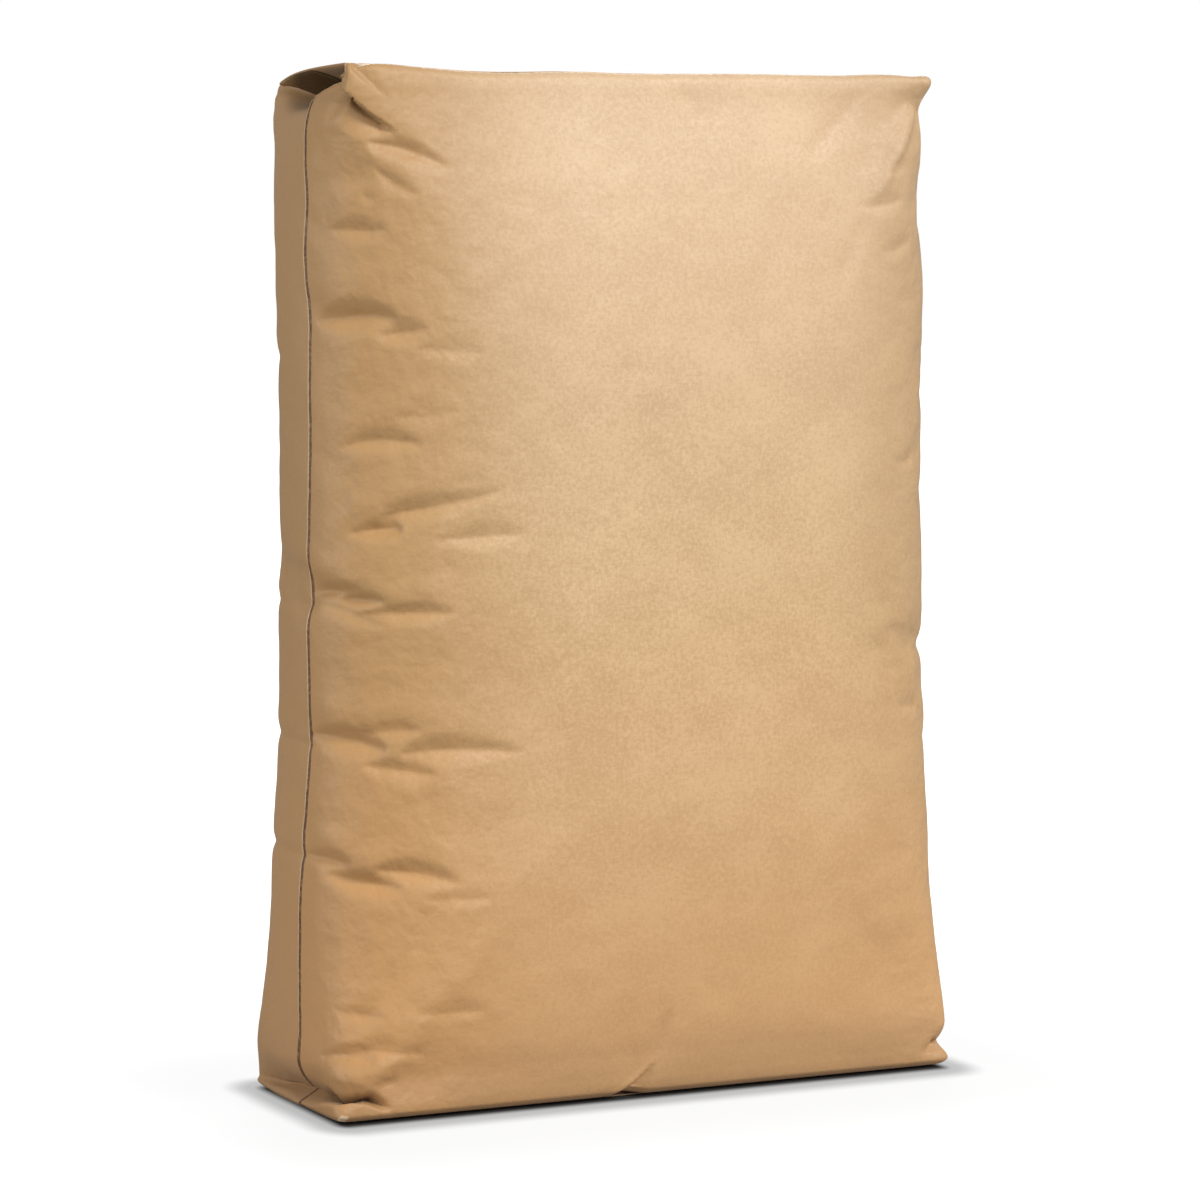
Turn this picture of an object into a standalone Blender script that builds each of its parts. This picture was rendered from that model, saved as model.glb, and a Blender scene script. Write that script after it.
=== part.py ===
"""A filled kraft paper cement sack that stands on its bottom block.

Metres, +Z up. The origin is on the floor, under the middle of the sack. The broad
front faces -Y, and the narrow side with the filling valve faces -X.
"""

import math
from collections import namedtuple

import bmesh
import bpy
import numpy as np

# Driving dimensions of the filled sack, over the corners of its two folded ends
SACK_HEIGHT = 0.620
FOOT_WIDTH = 0.413
FOOT_DEPTH = 0.134
TOP_WIDTH = 0.391
TOP_DEPTH = 0.118

# The sheets pasted over the two folded ends
PATCH_THICKNESS = 0.0004
PASTE_GAP = 0.0003
PATCH_MARGIN = 0.013
PATCH_COLUMNS = 26
PATCH_ROWS = 8

# The paper ends this far short of the floor and of the full height, behind those sheets
END_INSET = PATCH_THICKNESS + PASTE_GAP
PAPER_TOP = SACK_HEIGHT - END_INSET

# The valve pocket in the top of the -X side: the depth of its valley, and its sloping ceiling
POCKET_DEPTH = 0.032
CEILING_LOW = 0.605
CEILING_HIGH = 0.6165

# The valve sleeve, a flattened paper tube that lies under the pocket's ceiling
SLEEVE_THICKNESS = 0.0008
SLEEVE_GAP = 0.0006
SLEEVE_FRONT = -0.40
SLEEVE_REAR = 0.62
SLEEVE_INNER = 0.12
SLEEVE_OUTER = 0.86
SLEEVE_COLUMNS = 10
SLEEVE_ROWS = 3

# The top has settled: its middle sags, and its rear corner on the valve side has slumped
CORNER_SLUMP = 0.011
SLUMP_REACH = 0.080
TOP_SAG = 0.001
SETTLED_FROM = 0.46

# The paper between the two ends, as rings at chosen heights. A station gives a ring's half
# width and half depth at its corners, how square the corners are, and how far the middle of
# each of its four faces stands out from the line between its corners.
Station = namedtuple("Station", "height half_width half_depth squareness front back valve plain")
STATIONS = [
    Station(END_INSET, FOOT_WIDTH / 2, FOOT_DEPTH / 2, 120, -0.005, -0.005, -0.004, -0.004),
    Station(0.004, FOOT_WIDTH / 2, FOOT_DEPTH / 2, 120, -0.004, -0.004, -0.003, -0.003),
    Station(0.012, FOOT_WIDTH / 2, FOOT_DEPTH / 2, 80, -0.001, -0.001, -0.009, -0.006),
    Station(0.024, FOOT_WIDTH / 2 - 0.001, FOOT_DEPTH / 2, 40, 0.003, 0.003, -0.012, -0.007),
    Station(0.055, FOOT_WIDTH / 2 - 0.001, FOOT_DEPTH / 2, 22, 0.007, 0.007, -0.002, -0.002),
    Station(0.130, 0.2030, 0.0665, 11, 0.010, 0.010, 0.002, 0.002),
    Station(0.250, 0.1985, 0.0660, 8, 0.010, 0.010, 0.003, 0.003),
    Station(0.380, 0.1975, 0.0650, 8, 0.010, 0.010, 0.003, 0.003),
    Station(0.480, 0.1985, 0.0630, 8, 0.009, 0.009, 0.003, 0.003),
    Station(0.550, 0.1985, 0.0605, 10, 0.006, 0.006, 0.000, 0.000),
    Station(0.580, 0.1970, 0.0590, 16, 0.003, 0.003, -0.008, -0.003),
    Station(0.597, TOP_WIDTH / 2, TOP_DEPTH / 2 + 0.001, 36, 0.001, 0.001, -0.026, -0.007),
    Station(CEILING_LOW, TOP_WIDTH / 2, TOP_DEPTH / 2, 60, -0.001, -0.001, -POCKET_DEPTH, -0.006),
    Station(CEILING_HIGH, TOP_WIDTH / 2, TOP_DEPTH / 2, 120, -0.002, -0.002, -0.003, -0.003),
    Station(PAPER_TOP, TOP_WIDTH / 2 - 0.002, TOP_DEPTH / 2 - 0.002, 80, -0.003, -0.003, -0.002, -0.002),
]
BETWEEN_HEIGHTS = [0.008, 0.018, 0.036, 0.090, 0.190, 0.315, 0.430, 0.515, 0.566, 0.589]

# How a face's bulge fades towards its corners, and how narrowly it keeps to that face
ARCH_POWER = 2.2
FACE_POWER = 3.0

# How finely the rings follow the paper: steps from a corner to the middle of each face, and
# the levels that the straight ceiling of the pocket is cut into
SIDE_STEPS = 9
FRONT_STEPS = 11
CEILING_LEVELS = 4
DENSE_SAMPLES = 240
SHARP_EDGE = math.radians(40)

KRAFT_COLOUR = (0.56, 0.37, 0.20, 1.0)
PATCH_COLOUR = (0.60, 0.41, 0.24, 1.0)
SLEEVE_COLOUR = (0.46, 0.29, 0.15, 1.0)
PAPER_ROUGHNESS = 0.62


def clear_scene():
    """Remove every object from the scene."""
    for item in list(bpy.data.objects):
        bpy.data.objects.remove(item, do_unlink=True)


def paper(name, colour):
    """A matt paper material of one colour."""
    material = bpy.data.materials.new(name)
    material.use_nodes = True
    shader = material.node_tree.nodes["Principled BSDF"]
    shader.inputs["Base Color"].default_value = colour
    shader.inputs["Roughness"].default_value = PAPER_ROUGHNESS
    shader.inputs["Metallic"].default_value = 0.0
    return material


def monotone_slope(heights, values, index):
    """The slope of a curve at one station, chosen so that the curve never overshoots."""
    if index in (0, len(values) - 1):
        return 0.0
    below = (values[index] - values[index - 1]) / (heights[index] - heights[index - 1])
    above = (values[index + 1] - values[index]) / (heights[index + 1] - heights[index])
    if below * above <= 0:
        return 0.0
    return 2 * below * above / (below + above)


def hermite(low, high, slope_low, slope_high, share):
    """A cubic from low to high that has the given slope at each end."""
    square, cube = share**2, share**3
    return (
        low * (2 * cube - 3 * square + 1)
        + slope_low * (cube - 2 * square + share)
        + high * (3 * square - 2 * cube)
        + slope_high * (cube - square)
    )


def station_at(height):
    """The ring's measures at any height, on smooth curves through the stations."""
    heights = [station.height for station in STATIONS]
    upper = min(max(int(np.searchsorted(heights, height)), 1), len(STATIONS) - 1)
    lower = upper - 1
    span = heights[upper] - heights[lower]
    share = (height - heights[lower]) / span
    values = []
    for field in Station._fields[1:]:
        along = [getattr(station, field) for station in STATIONS]
        slope_low = monotone_slope(heights, along, lower) * span
        slope_high = monotone_slope(heights, along, upper) * span
        values.append(hermite(along[lower], along[upper], slope_low, slope_high, share))
    return Station(height, *values)


def settled(x, y, height):
    """The height of a point of the top once its middle and its slumped corner have sunk."""
    nearness = np.clip((height - SETTLED_FROM) / (SACK_HEIGHT - SETTLED_FROM), 0.0, 1.0) ** 2
    from_valve_side = np.clip(1.0 - (x + TOP_WIDTH / 2) / SLUMP_REACH, 0.0, 1.0) ** 2
    to_rear = np.clip((y + TOP_DEPTH / 2) / TOP_DEPTH, 0.0, 1.0) ** 2
    to_middle = np.clip(1.0 - (2 * x / TOP_WIDTH) ** 2, 0.0, 1.0)
    return height - nearness * (CORNER_SLUMP * from_valve_side * to_rear + TOP_SAG * to_middle)


def face_point(station, across, deep):
    """A point of a ring from its place on the unit ring, with the faces' bulges added."""
    side = station.plain if across > 0 else station.valve
    broad = station.back if deep > 0 else station.front
    side_share = math.copysign(abs(across) ** FACE_POWER, across) * (1 - abs(deep) ** ARCH_POWER)
    broad_share = math.copysign(abs(deep) ** FACE_POWER, deep) * (1 - abs(across) ** ARCH_POWER)
    x = station.half_width * across + side * side_share
    y = station.half_depth * deep + broad * broad_share
    return x, y, settled(x, y, station.height)


def evenly_along(points, count):
    """Pick count + 1 points that lie evenly along a line of dense points."""
    steps = np.linalg.norm(np.diff(points, axis=0), axis=1)
    run = np.concatenate([[0.0], np.cumsum(steps)])
    wanted = np.linspace(0.0, run[-1], count + 1)
    return np.column_stack([np.interp(wanted, run, points[:, axis]) for axis in (0, 1)])


def unit_ring(squareness):
    """A unit ring with square corners, anticlockwise from the middle of the +X side."""
    power = 2.0 / squareness
    turn = np.linspace(0.0, math.pi / 2, DENSE_SAMPLES + 1)
    dense = np.column_stack([np.cos(turn).clip(0) ** power, np.sin(turn).clip(0) ** power])
    corner = DENSE_SAMPLES // 2
    side = evenly_along(dense[: corner + 1], SIDE_STEPS)
    front = evenly_along(dense[corner:], FRONT_STEPS)
    quarter = np.vstack([side, front[1:]])
    half = np.vstack([quarter, (quarter * (-1, 1))[::-1][1:]])
    return np.vstack([half, (half * (1, -1))[::-1][1:-1]])


def ring_points(height):
    """The paper's outline at one height, anticlockwise seen from above."""
    station = station_at(height)
    return [face_point(station, across, deep) for across, deep in unit_ring(station.squareness)]


def all_rings():
    """Every ring from the floor to the top, with straight levels between the ceiling's two."""
    heights = sorted([station.height for station in STATIONS] + BETWEEN_HEIGHTS)
    rings = []
    for height in heights:
        ring = np.array(ring_points(height))
        if height == CEILING_HIGH:
            shares = np.linspace(0, 1, CEILING_LEVELS + 1)[1:-1]
            valley = rings[-1]
            rings += [valley + share * (ring - valley) for share in shares]
        rings.append(ring)
    return rings


def end_grid(ring, height_at):
    """Points that fill a ring, row by row from the front, between its four corners."""
    count = len(ring)
    rear = ring[SIDE_STEPS : count // 2 - SIDE_STEPS + 1][::-1]
    valve = ring[count // 2 - SIDE_STEPS : count // 2 + SIDE_STEPS + 1][::-1]
    front = ring[count // 2 + SIDE_STEPS : count - SIDE_STEPS + 1]
    plain = np.vstack([ring[count - SIDE_STEPS :], ring[: SIDE_STEPS + 1]])
    rows = []
    for deep, (left, right) in zip(np.linspace(0, 1, len(valve)), zip(valve, plain)):
        row = []
        for across, (near, far) in zip(np.linspace(0, 1, len(front)), zip(front, rear)):
            corners = (
                (1 - across) * (1 - deep) * front[0]
                + across * (1 - deep) * front[-1]
                + (1 - across) * deep * rear[0]
                + across * deep * rear[-1]
            )
            point = (1 - deep) * near + deep * far + (1 - across) * left + across * right - corners
            row.append((point[0], point[1], height_at(point[0], point[1])))
        rows.append(row)
    return rows


def solid(name, vertices, faces, material):
    """A named object from vertices and faces, with its seams closed and its faces outwards."""
    mesh = bpy.data.meshes.new(name)
    mesh.from_pydata(vertices, [], faces)
    work = bmesh.new()
    work.from_mesh(mesh)
    bmesh.ops.remove_doubles(work, verts=work.verts, dist=1e-6)
    bmesh.ops.recalc_face_normals(work, faces=work.faces)
    work.to_mesh(mesh)
    work.free()
    mesh.materials.append(material)
    mesh.shade_smooth()
    mesh.set_sharp_from_angle(angle=SHARP_EDGE)
    item = bpy.data.objects.new(name, mesh)
    bpy.context.scene.collection.objects.link(item)
    return item


def grid_faces(start, rows, columns):
    """The quads of a grid of points that was added from the vertex number start."""
    faces = []
    for row in range(rows - 1):
        for column in range(columns - 1):
            corner = start + row * columns + column
            faces.append((corner, corner + 1, corner + columns + 1, corner + columns))
    return faces


def make_sack(material):
    """The filled sack: rings from the floor to the top, closed by the two folded ends."""
    rings = all_rings()
    count = len(rings[0])
    vertices = [tuple(point) for ring in rings for point in ring]
    faces = []
    for level in range(len(rings) - 1):
        for index in range(count):
            after = (index + 1) % count
            low, high = level * count, (level + 1) * count
            faces.append((low + index, low + after, high + after, high + index))
    foot = end_grid(rings[0], lambda x, y: END_INSET)
    top = end_grid(rings[-1], lambda x, y: settled(x, y, PAPER_TOP))
    for grid in (foot, top):
        faces += grid_faces(len(vertices), len(grid), len(grid[0]))
        vertices += [point for row in grid for point in row]
    return solid("sack", vertices, faces, material)


def make_sheet(name, under, thickness, material):
    """A thin closed sheet: a grid of points underneath, and the same grid moved outwards.

    The grid under holds rows of (point, outward direction) pairs.
    """
    rows, columns = len(under), len(under[0])
    pairs = [pair for row in under for pair in row]
    vertices = [tuple(point) for point, outward in pairs]
    vertices += [tuple(np.add(point, np.multiply(outward, thickness))) for point, outward in pairs]
    upper = len(pairs)
    faces = grid_faces(0, rows, columns) + grid_faces(upper, rows, columns)
    rim = list(range(columns)) + [row * columns + columns - 1 for row in range(1, rows)]
    rim += [(rows - 1) * columns + column for column in range(columns - 2, -1, -1)]
    rim += [row * columns for row in range(rows - 2, 0, -1)]
    for index, corner in enumerate(rim):
        after = rim[(index + 1) % len(rim)]
        faces.append((corner, after, after + upper, corner + upper))
    return solid(name, vertices, faces, material)


def make_patch(name, width, depth, height_at, material):
    """A sheet pasted over one of the two folded ends, set in by the margin all round."""
    columns = np.linspace(PATCH_MARGIN - width / 2, width / 2 - PATCH_MARGIN, PATCH_COLUMNS)
    rows = np.linspace(PATCH_MARGIN - depth / 2, depth / 2 - PATCH_MARGIN, PATCH_ROWS)
    under = [[((x, y, height_at(x, y)), (0, 0, 1)) for x in columns] for y in rows]
    return make_sheet(name, under, PATCH_THICKNESS, material)


def make_sleeve(material):
    """The valve sleeve, under the ceiling of the pocket and a paste line away from it."""
    low, high = station_at(CEILING_LOW), station_at(CEILING_HIGH)
    under = []
    for rise in np.linspace(SLEEVE_INNER, SLEEVE_OUTER, SLEEVE_ROWS):
        row = []
        for deep in np.linspace(SLEEVE_FRONT, SLEEVE_REAR, SLEEVE_COLUMNS):
            valley = np.array(face_point(low, -1.0, deep))
            brow = np.array(face_point(high, -1.0, deep))
            up_ceiling = brow - valley
            outward = np.cross(up_ceiling, (0.0, 1.0, 0.0))
            outward *= -math.copysign(1.0, outward[2]) / np.linalg.norm(outward)
            point = valley + rise * up_ceiling + SLEEVE_GAP * outward
            row.append((point, outward))
        under.append(row)
    return make_sheet("valve_sleeve", under, SLEEVE_THICKNESS, material)


def main():
    """Build the sack, the two pasted end patches and the valve sleeve."""
    clear_scene()
    kraft = paper("kraft_paper", KRAFT_COLOUR)
    patch = paper("patch_paper", PATCH_COLOUR)
    sleeve = paper("sleeve_paper", SLEEVE_COLOUR)
    make_sack(kraft)
    make_patch("bottom_patch", FOOT_WIDTH, FOOT_DEPTH, lambda x, y: 0.0, patch)
    make_patch("top_patch", TOP_WIDTH, TOP_DEPTH, lambda x, y: settled(x, y, PAPER_TOP) + PASTE_GAP, patch)
    make_sleeve(sleeve)


main()
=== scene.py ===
"""The looks of a filled kraft paper cement sack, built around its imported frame.

Metres, +Z up. The broad front faces -Y and the narrow side with the filling valve faces -X.
The paper is laid out as a grid of rows (heights) and columns (round the girth). A smooth filled
form comes first, then the folds and creases that the photograph shows are pressed into it, and the
fine buckles of a cloth simulation are laid over them. A place on the paper is (girth, height): the
distance round the sack from its front left corner, towards the front positive, and the height
above the floor.
"""

import sys
import logging
import math
from collections.abc import Sequence
from dataclasses import dataclass, field
from enum import Enum
from typing import NamedTuple

import bmesh
import bpy
import numpy as np
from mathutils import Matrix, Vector, noise


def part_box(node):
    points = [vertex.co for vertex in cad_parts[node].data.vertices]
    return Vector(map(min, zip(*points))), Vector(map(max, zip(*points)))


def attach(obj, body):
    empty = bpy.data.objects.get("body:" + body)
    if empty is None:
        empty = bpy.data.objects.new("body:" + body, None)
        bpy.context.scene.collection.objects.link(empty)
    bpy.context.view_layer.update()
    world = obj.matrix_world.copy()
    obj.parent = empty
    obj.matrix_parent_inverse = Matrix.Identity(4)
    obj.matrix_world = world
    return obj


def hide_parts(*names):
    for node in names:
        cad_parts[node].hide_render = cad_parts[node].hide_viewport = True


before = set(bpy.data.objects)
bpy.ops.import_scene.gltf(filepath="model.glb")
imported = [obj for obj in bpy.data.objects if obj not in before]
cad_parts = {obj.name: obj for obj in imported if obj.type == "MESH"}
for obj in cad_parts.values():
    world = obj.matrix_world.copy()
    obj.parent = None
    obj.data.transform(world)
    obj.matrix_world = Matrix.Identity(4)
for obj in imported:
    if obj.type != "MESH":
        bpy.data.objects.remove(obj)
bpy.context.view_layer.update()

LOG = logging.getLogger("cement_sack")

Array = np.ndarray
Item = bpy.types.Object
Material = bpy.types.Material
Socket = bpy.types.NodeSocket
Tone = tuple[float, float, float]
Span = tuple[float, float]

# Driving dimensions of the sack, over the corners of its two folded ends
PATCH_MARGIN = 0.013
FOOT_WIDTH = 2 * (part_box("bottom_patch")[1].x + PATCH_MARGIN)
FOOT_DEPTH = 2 * (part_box("bottom_patch")[1].y + PATCH_MARGIN)
TOP_WIDTH = 2 * (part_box("top_patch")[1].x + PATCH_MARGIN)
TOP_DEPTH = 2 * (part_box("top_patch")[1].y + PATCH_MARGIN)
PAPER_TOP = 0.6193
PAPER_FOOT = 0.0007
PATCH_THICKNESS = 0.0004
PASTE_GAP = 0.0002

# The girth is counted in these nominal lengths, from the front left corner
FRONT_GIRTH = FOOT_WIDTH
SIDE_GIRTH = FOOT_DEPTH
FULL_GIRTH = 2 * (FRONT_GIRTH + SIDE_GIRTH)
FRONT_RIGHT_CORNER = FRONT_GIRTH
BACK_RIGHT_CORNER = FRONT_GIRTH + SIDE_GIRTH
BACK_LEFT_CORNER = -SIDE_GIRTH
FACE_STARTS = (BACK_LEFT_CORNER, 0.0, FRONT_RIGHT_CORNER, BACK_RIGHT_CORNER)
FACE_LENGTHS = (SIDE_GIRTH, FRONT_GIRTH, SIDE_GIRTH, FRONT_GIRTH)

# The rear corner of the top on the valve side has slumped
CORNER_SLUMP = 0.0094
SLUMP_REACH = 0.080
SETTLED_FROM = 0.46


def smooth_step(values: Array | float, low: float, high: float) -> Array:
    """Rise smoothly from 0 to 1.

    Args:
        values: What is measured.
        low: Where the rise begins.
        high: Where it ends, which may be below low for a fall.

    Returns:
        The share between 0 and 1 for each value.
    """
    share = np.clip((np.asarray(values, float) - low) / (high - low), 0.0, 1.0)
    return share * share * (3 - 2 * share)


def between(values: Array, rise: Span, fall: Span) -> Array:
    """Return 1 between two smooth steps, and 0 before the first and past the second."""
    return smooth_step(values, *rise) * smooth_step(values, *fall)


def unit(vectors: Array) -> Array:
    """Scale vectors along the last axis to length 1."""
    return vectors / np.maximum(np.linalg.norm(vectors, axis=-1, keepdims=True), 1e-12)


def outward(points: Array) -> Array:
    """Return the outward direction at each point of a grid that goes round the sack."""
    along = np.roll(points, -1, axis=1) - np.roll(points, 1, axis=1)
    return unit(np.cross(along, np.gradient(points, axis=0)))


def round_from(corner: Array | float, girth: Array) -> Array:
    """Return the signed distance round the sack from a corner to each girth, by the shorter way."""
    return (girth - corner + FULL_GIRTH / 2) % FULL_GIRTH - FULL_GIRTH / 2


def girth_weights(girth: Array, reach: float) -> Array:
    """Weigh each column of a row by its distance round the sack from each other one.

    Args:
        girth: The columns' girths.
        reach: The standard deviation of the weights in metres.

    Returns:
        The weights, by the column they are for and the column they weigh.
    """
    apart = round_from(girth[None, :], girth[:, None])
    room = (np.roll(girth, -1) - np.roll(girth, 1)) % FULL_GIRTH
    return np.exp(-0.5 * (apart / reach) ** 2) * room[None, :]


def place_object(name: str, data: bpy.types.ID) -> Item:
    """Put something into the scene as an object at the origin.

    Args:
        name: The object's name.
        data: Its mesh, camera or lamp.

    Returns:
        The object.
    """
    item = bpy.data.objects.new(name, data)
    bpy.context.scene.collection.objects.link(item)
    return item


def evaluated_mesh(item: Item) -> bpy.types.Mesh:
    """Return a plain mesh of what an object's modifiers make of it."""
    evaluated = item.evaluated_get(bpy.context.evaluated_depsgraph_get())
    return bpy.data.meshes.new_from_object(evaluated)


def cut_caps(mesh: bpy.types.Mesh) -> None:
    """Cut every face with more than four corners into triangles.

    Args:
        mesh: The mesh, which is changed.
    """
    work = bmesh.new()
    work.from_mesh(mesh)
    bmesh.ops.triangulate(work, faces=[face for face in work.faces if len(face.verts) > 4])
    work.to_mesh(mesh)
    work.free()


@dataclass(frozen=True)
class PhotoView:
    """The camera that took the photograph, fitted to the sack's corners.

    Attributes:
        azimuth: How far it stands round to the left.
        pitch: How far it looks down.
        distance: How far off it stands, level.
        eye_height: Its height.
        across: Its shift to the right.
        focal_pixels: Its focal length in the photograph's pixels.
        frame_pixels: The photograph's width and height.
        sensor: The sensor's width in millimetres.
    """

    azimuth: float = math.radians(-26.2285)
    pitch: float = math.radians(4.3829)
    distance: float = 2.4558
    eye_height: float = 0.4862
    across: float = -0.0044
    focal_pixels: float = 3993.5
    frame_pixels: int = 1200
    sensor: float = 36.0

    def axes(self) -> tuple[Array, Array, Array]:
        """Turn the camera's angles into directions.

        Returns:
            The unit directions to the right, up and ahead.
        """
        right = np.array([math.cos(self.azimuth), math.sin(self.azimuth), 0.0])
        level = np.array([-math.sin(self.azimuth), math.cos(self.azimuth), 0.0])
        ahead = level * math.cos(self.pitch) - np.array([0.0, 0.0, math.sin(self.pitch)])
        return right, np.cross(right, ahead), ahead

    def eye(self) -> Array:
        """Work out where the camera stands.

        Returns:
            Its place.
        """
        level = np.array([-math.sin(self.azimuth), math.cos(self.azimuth), 0.0])
        right = self.axes()[0]
        return right * self.across - level * self.distance + np.array([0.0, 0.0, self.eye_height])

    def project(self, points: Array) -> Array:
        """Project points into the photograph.

        Args:
            points: Places in metres, with the coordinates along the last axis.

        Returns:
            Pixel coordinates in the photograph's frame, along the last axis.
        """
        right, up, ahead = self.axes()
        offset = points - self.eye()
        depth = offset @ ahead
        half = self.frame_pixels / 2
        across = half + self.focal_pixels * (offset @ right) / depth
        down = half - self.focal_pixels * (offset @ up) / depth
        return np.stack([across, down], axis=-1)

    def make_camera(self) -> Item:
        """Add the camera and make it the scene's own.

        Returns:
            The camera object.
        """
        data = bpy.data.cameras.new("photo_camera")
        data.sensor_width = self.sensor
        data.lens = self.focal_pixels * self.sensor / self.frame_pixels
        data.clip_end = 200.0
        camera = place_object("photo_camera", data)
        camera.location = Vector(self.eye())
        camera.rotation_mode = "QUATERNION"
        camera.rotation_quaternion = Vector(self.axes()[2]).to_track_quat("-Z", "Y")
        bpy.context.scene.camera = camera
        return camera


VIEW = PhotoView()


class Station(NamedTuple):
    """A ring of the smooth form: its size over the corners, and how its four faces bulge.

    squareness is that of all corners but the front left one, which has its own.
    """

    height: float
    half_width: float
    half_depth: float
    squareness: float
    front_left: float
    front: float
    back: float
    valve: float
    plain: float


STATIONS = tuple(Station(*measures) for measures in (
    (PAPER_FOOT, FOOT_WIDTH / 2 - 0.0085, FOOT_DEPTH / 2 - 0.0110, 80, 60, 0, -0.003, 0.002, -0.001),
    (0.0016, FOOT_WIDTH / 2 - 0.0034, FOOT_DEPTH / 2 - 0.0062, 80, 60, 0, -0.003, 0.003, -0.001),
    (0.0030, FOOT_WIDTH / 2 - 0.0002, FOOT_DEPTH / 2 - 0.0030, 80, 60, 0, -0.002, 0.003, 0),
    (0.0060, FOOT_WIDTH / 2 + 0.0016, FOOT_DEPTH / 2 - 0.0004, 70, 50, 0.001, 0, 0.005, 0.001),
    (0.0130, FOOT_WIDTH / 2 + 0.0016, FOOT_DEPTH / 2, 50, 20, 0.003, 0.002, 0.006, 0.001),
    (0.0240, FOOT_WIDTH / 2 + 0.0018, FOOT_DEPTH / 2, 34, 8, 0.006, 0.005, 0.006, 0),
    (0.055, 0.2100, 0.0655, 16, 5, 0.011, 0.011, 0.003, 0.001),
    (0.130, 0.2095, 0.0635, 10, 4.2, 0.015, 0.014, 0.000, 0.002),
    (0.250, 0.2065, 0.0615, 8, 3.6, 0.018, 0.017, 0.000, 0.003),
    (0.380, 0.2045, 0.0605, 8, 3.6, 0.0185, 0.017, 0.002, 0.002),
    (0.480, 0.2045, 0.0600, 8, 3.9, 0.016, 0.015, 0.003, 0.001),
    (0.550, 0.2030, 0.0590, 10, 5, 0.010, 0.009, 0.004, -0.005),
    (0.580, 0.2005, 0.0585, 16, 8, 0.005, 0.004, 0.003, -0.008),
    (0.597, TOP_WIDTH / 2 + 0.0025, TOP_DEPTH / 2, 30, 18, 0.001, 0.001, 0.002, -0.010),
    (0.607, TOP_WIDTH / 2 + 0.0005, TOP_DEPTH / 2, 50, 50, -0.001, -0.001, 0.000, -0.007),
    (0.615, TOP_WIDTH / 2, TOP_DEPTH / 2 - 0.0006, 60, 60, -0.002, -0.002, -0.001, -0.004),
    (0.618, TOP_WIDTH / 2 - 0.0004, TOP_DEPTH / 2 - 0.0018, 60, 60, -0.003, -0.003, -0.001, -0.003),
    (PAPER_TOP, TOP_WIDTH / 2 - 0.0012, TOP_DEPTH / 2 - 0.0036, 60, 60, -0.003, -0.003, -0.001, -0.002),
))

# How a face's bulge fades towards its corners, and how narrowly it keeps to that face
ARCH_POWER = 2.2
FACE_POWER = 3.0
DENSE_QUARTER = 2400


def monotone_curve(heights: Array, values: Array, wanted: Array) -> Array:
    """Read a smooth curve through some values that never overshoots them.

    Args:
        heights: Where the values stand, rising.
        values: The values there.
        wanted: Where to read the curve.

    Returns:
        The curve's values at the wanted heights.
    """
    steps = np.diff(values) / np.diff(heights)
    slopes = np.zeros(len(values))
    rising = steps[:-1] * steps[1:] > 0
    total = np.where(rising, steps[:-1] + steps[1:], 1.0)
    slopes[1:-1] = np.where(rising, 2 * steps[:-1] * steps[1:] / total, 0.0)
    lower = np.clip(np.searchsorted(heights, wanted) - 1, 0, len(values) - 2)
    span = heights[lower + 1] - heights[lower]
    share = (wanted - heights[lower]) / span
    square, cube = share**2, share**3
    return (
        values[lower] * (2 * cube - 3 * square + 1)
        + slopes[lower] * span * (cube - 2 * square + share)
        + values[lower + 1] * (3 * square - 2 * cube)
        + slopes[lower + 1] * span * (cube - square)
    )


# The waves of the top's front edge: where each lies across the sack, its width and its drop
EDGE_WAVES = ((-0.105, 0.048, 0.0034), (-0.005, 0.055, 0.0020), (0.165, 0.022, -0.0017))
EDGE_REACH = 0.035
MIDDLE_SAG = 0.0012


def top_sag(x: Array, y: Array) -> Array:
    """How far the folded top has sunk at a place: its slumped corner and its wavy front edge.

    Args:
        x: Across the sack.
        y: Into its depth.

    Returns:
        The drop in metres, negative where the paper stands proud.
    """
    from_valve = np.clip(1.0 - (x + TOP_WIDTH / 2) / SLUMP_REACH, 0.0, 1.0) ** 2
    to_rear = np.clip((y + TOP_DEPTH / 2) / TOP_DEPTH, 0.0, 1.0) ** 5
    slump = CORNER_SLUMP * from_valve * to_rear
    at_front = np.exp(-(((y + TOP_DEPTH / 2) / EDGE_REACH) ** 2))
    waves = sum(drop * np.exp(-(((x - middle) / width) ** 2)) for middle, width, drop in EDGE_WAVES)
    middle = MIDDLE_SAG * np.clip(1.0 - (2 * x / TOP_WIDTH) ** 2, 0.0, 1.0) * (1 - at_front)
    return slump + at_front * waves + middle


class Face(Enum):
    """The four upright faces, in the order of the columns."""

    VALVE = 0
    FRONT = 1
    PLAIN = 2
    BACK = 3


def run_of_steps(*stretches: Span) -> Array:
    """Cut a line into stretches, each with its own step.

    Args:
        stretches: The length and the step of each stretch.

    Returns:
        The places along the line from 0, its far end included, as shares of its length.
    """
    places = [0.0]
    for length, step in stretches:
        count = max(1, round(length / step))
        places += list(places[-1] + np.arange(1, count + 1) * (length / count))
    return np.array(places) / places[-1]


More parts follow.
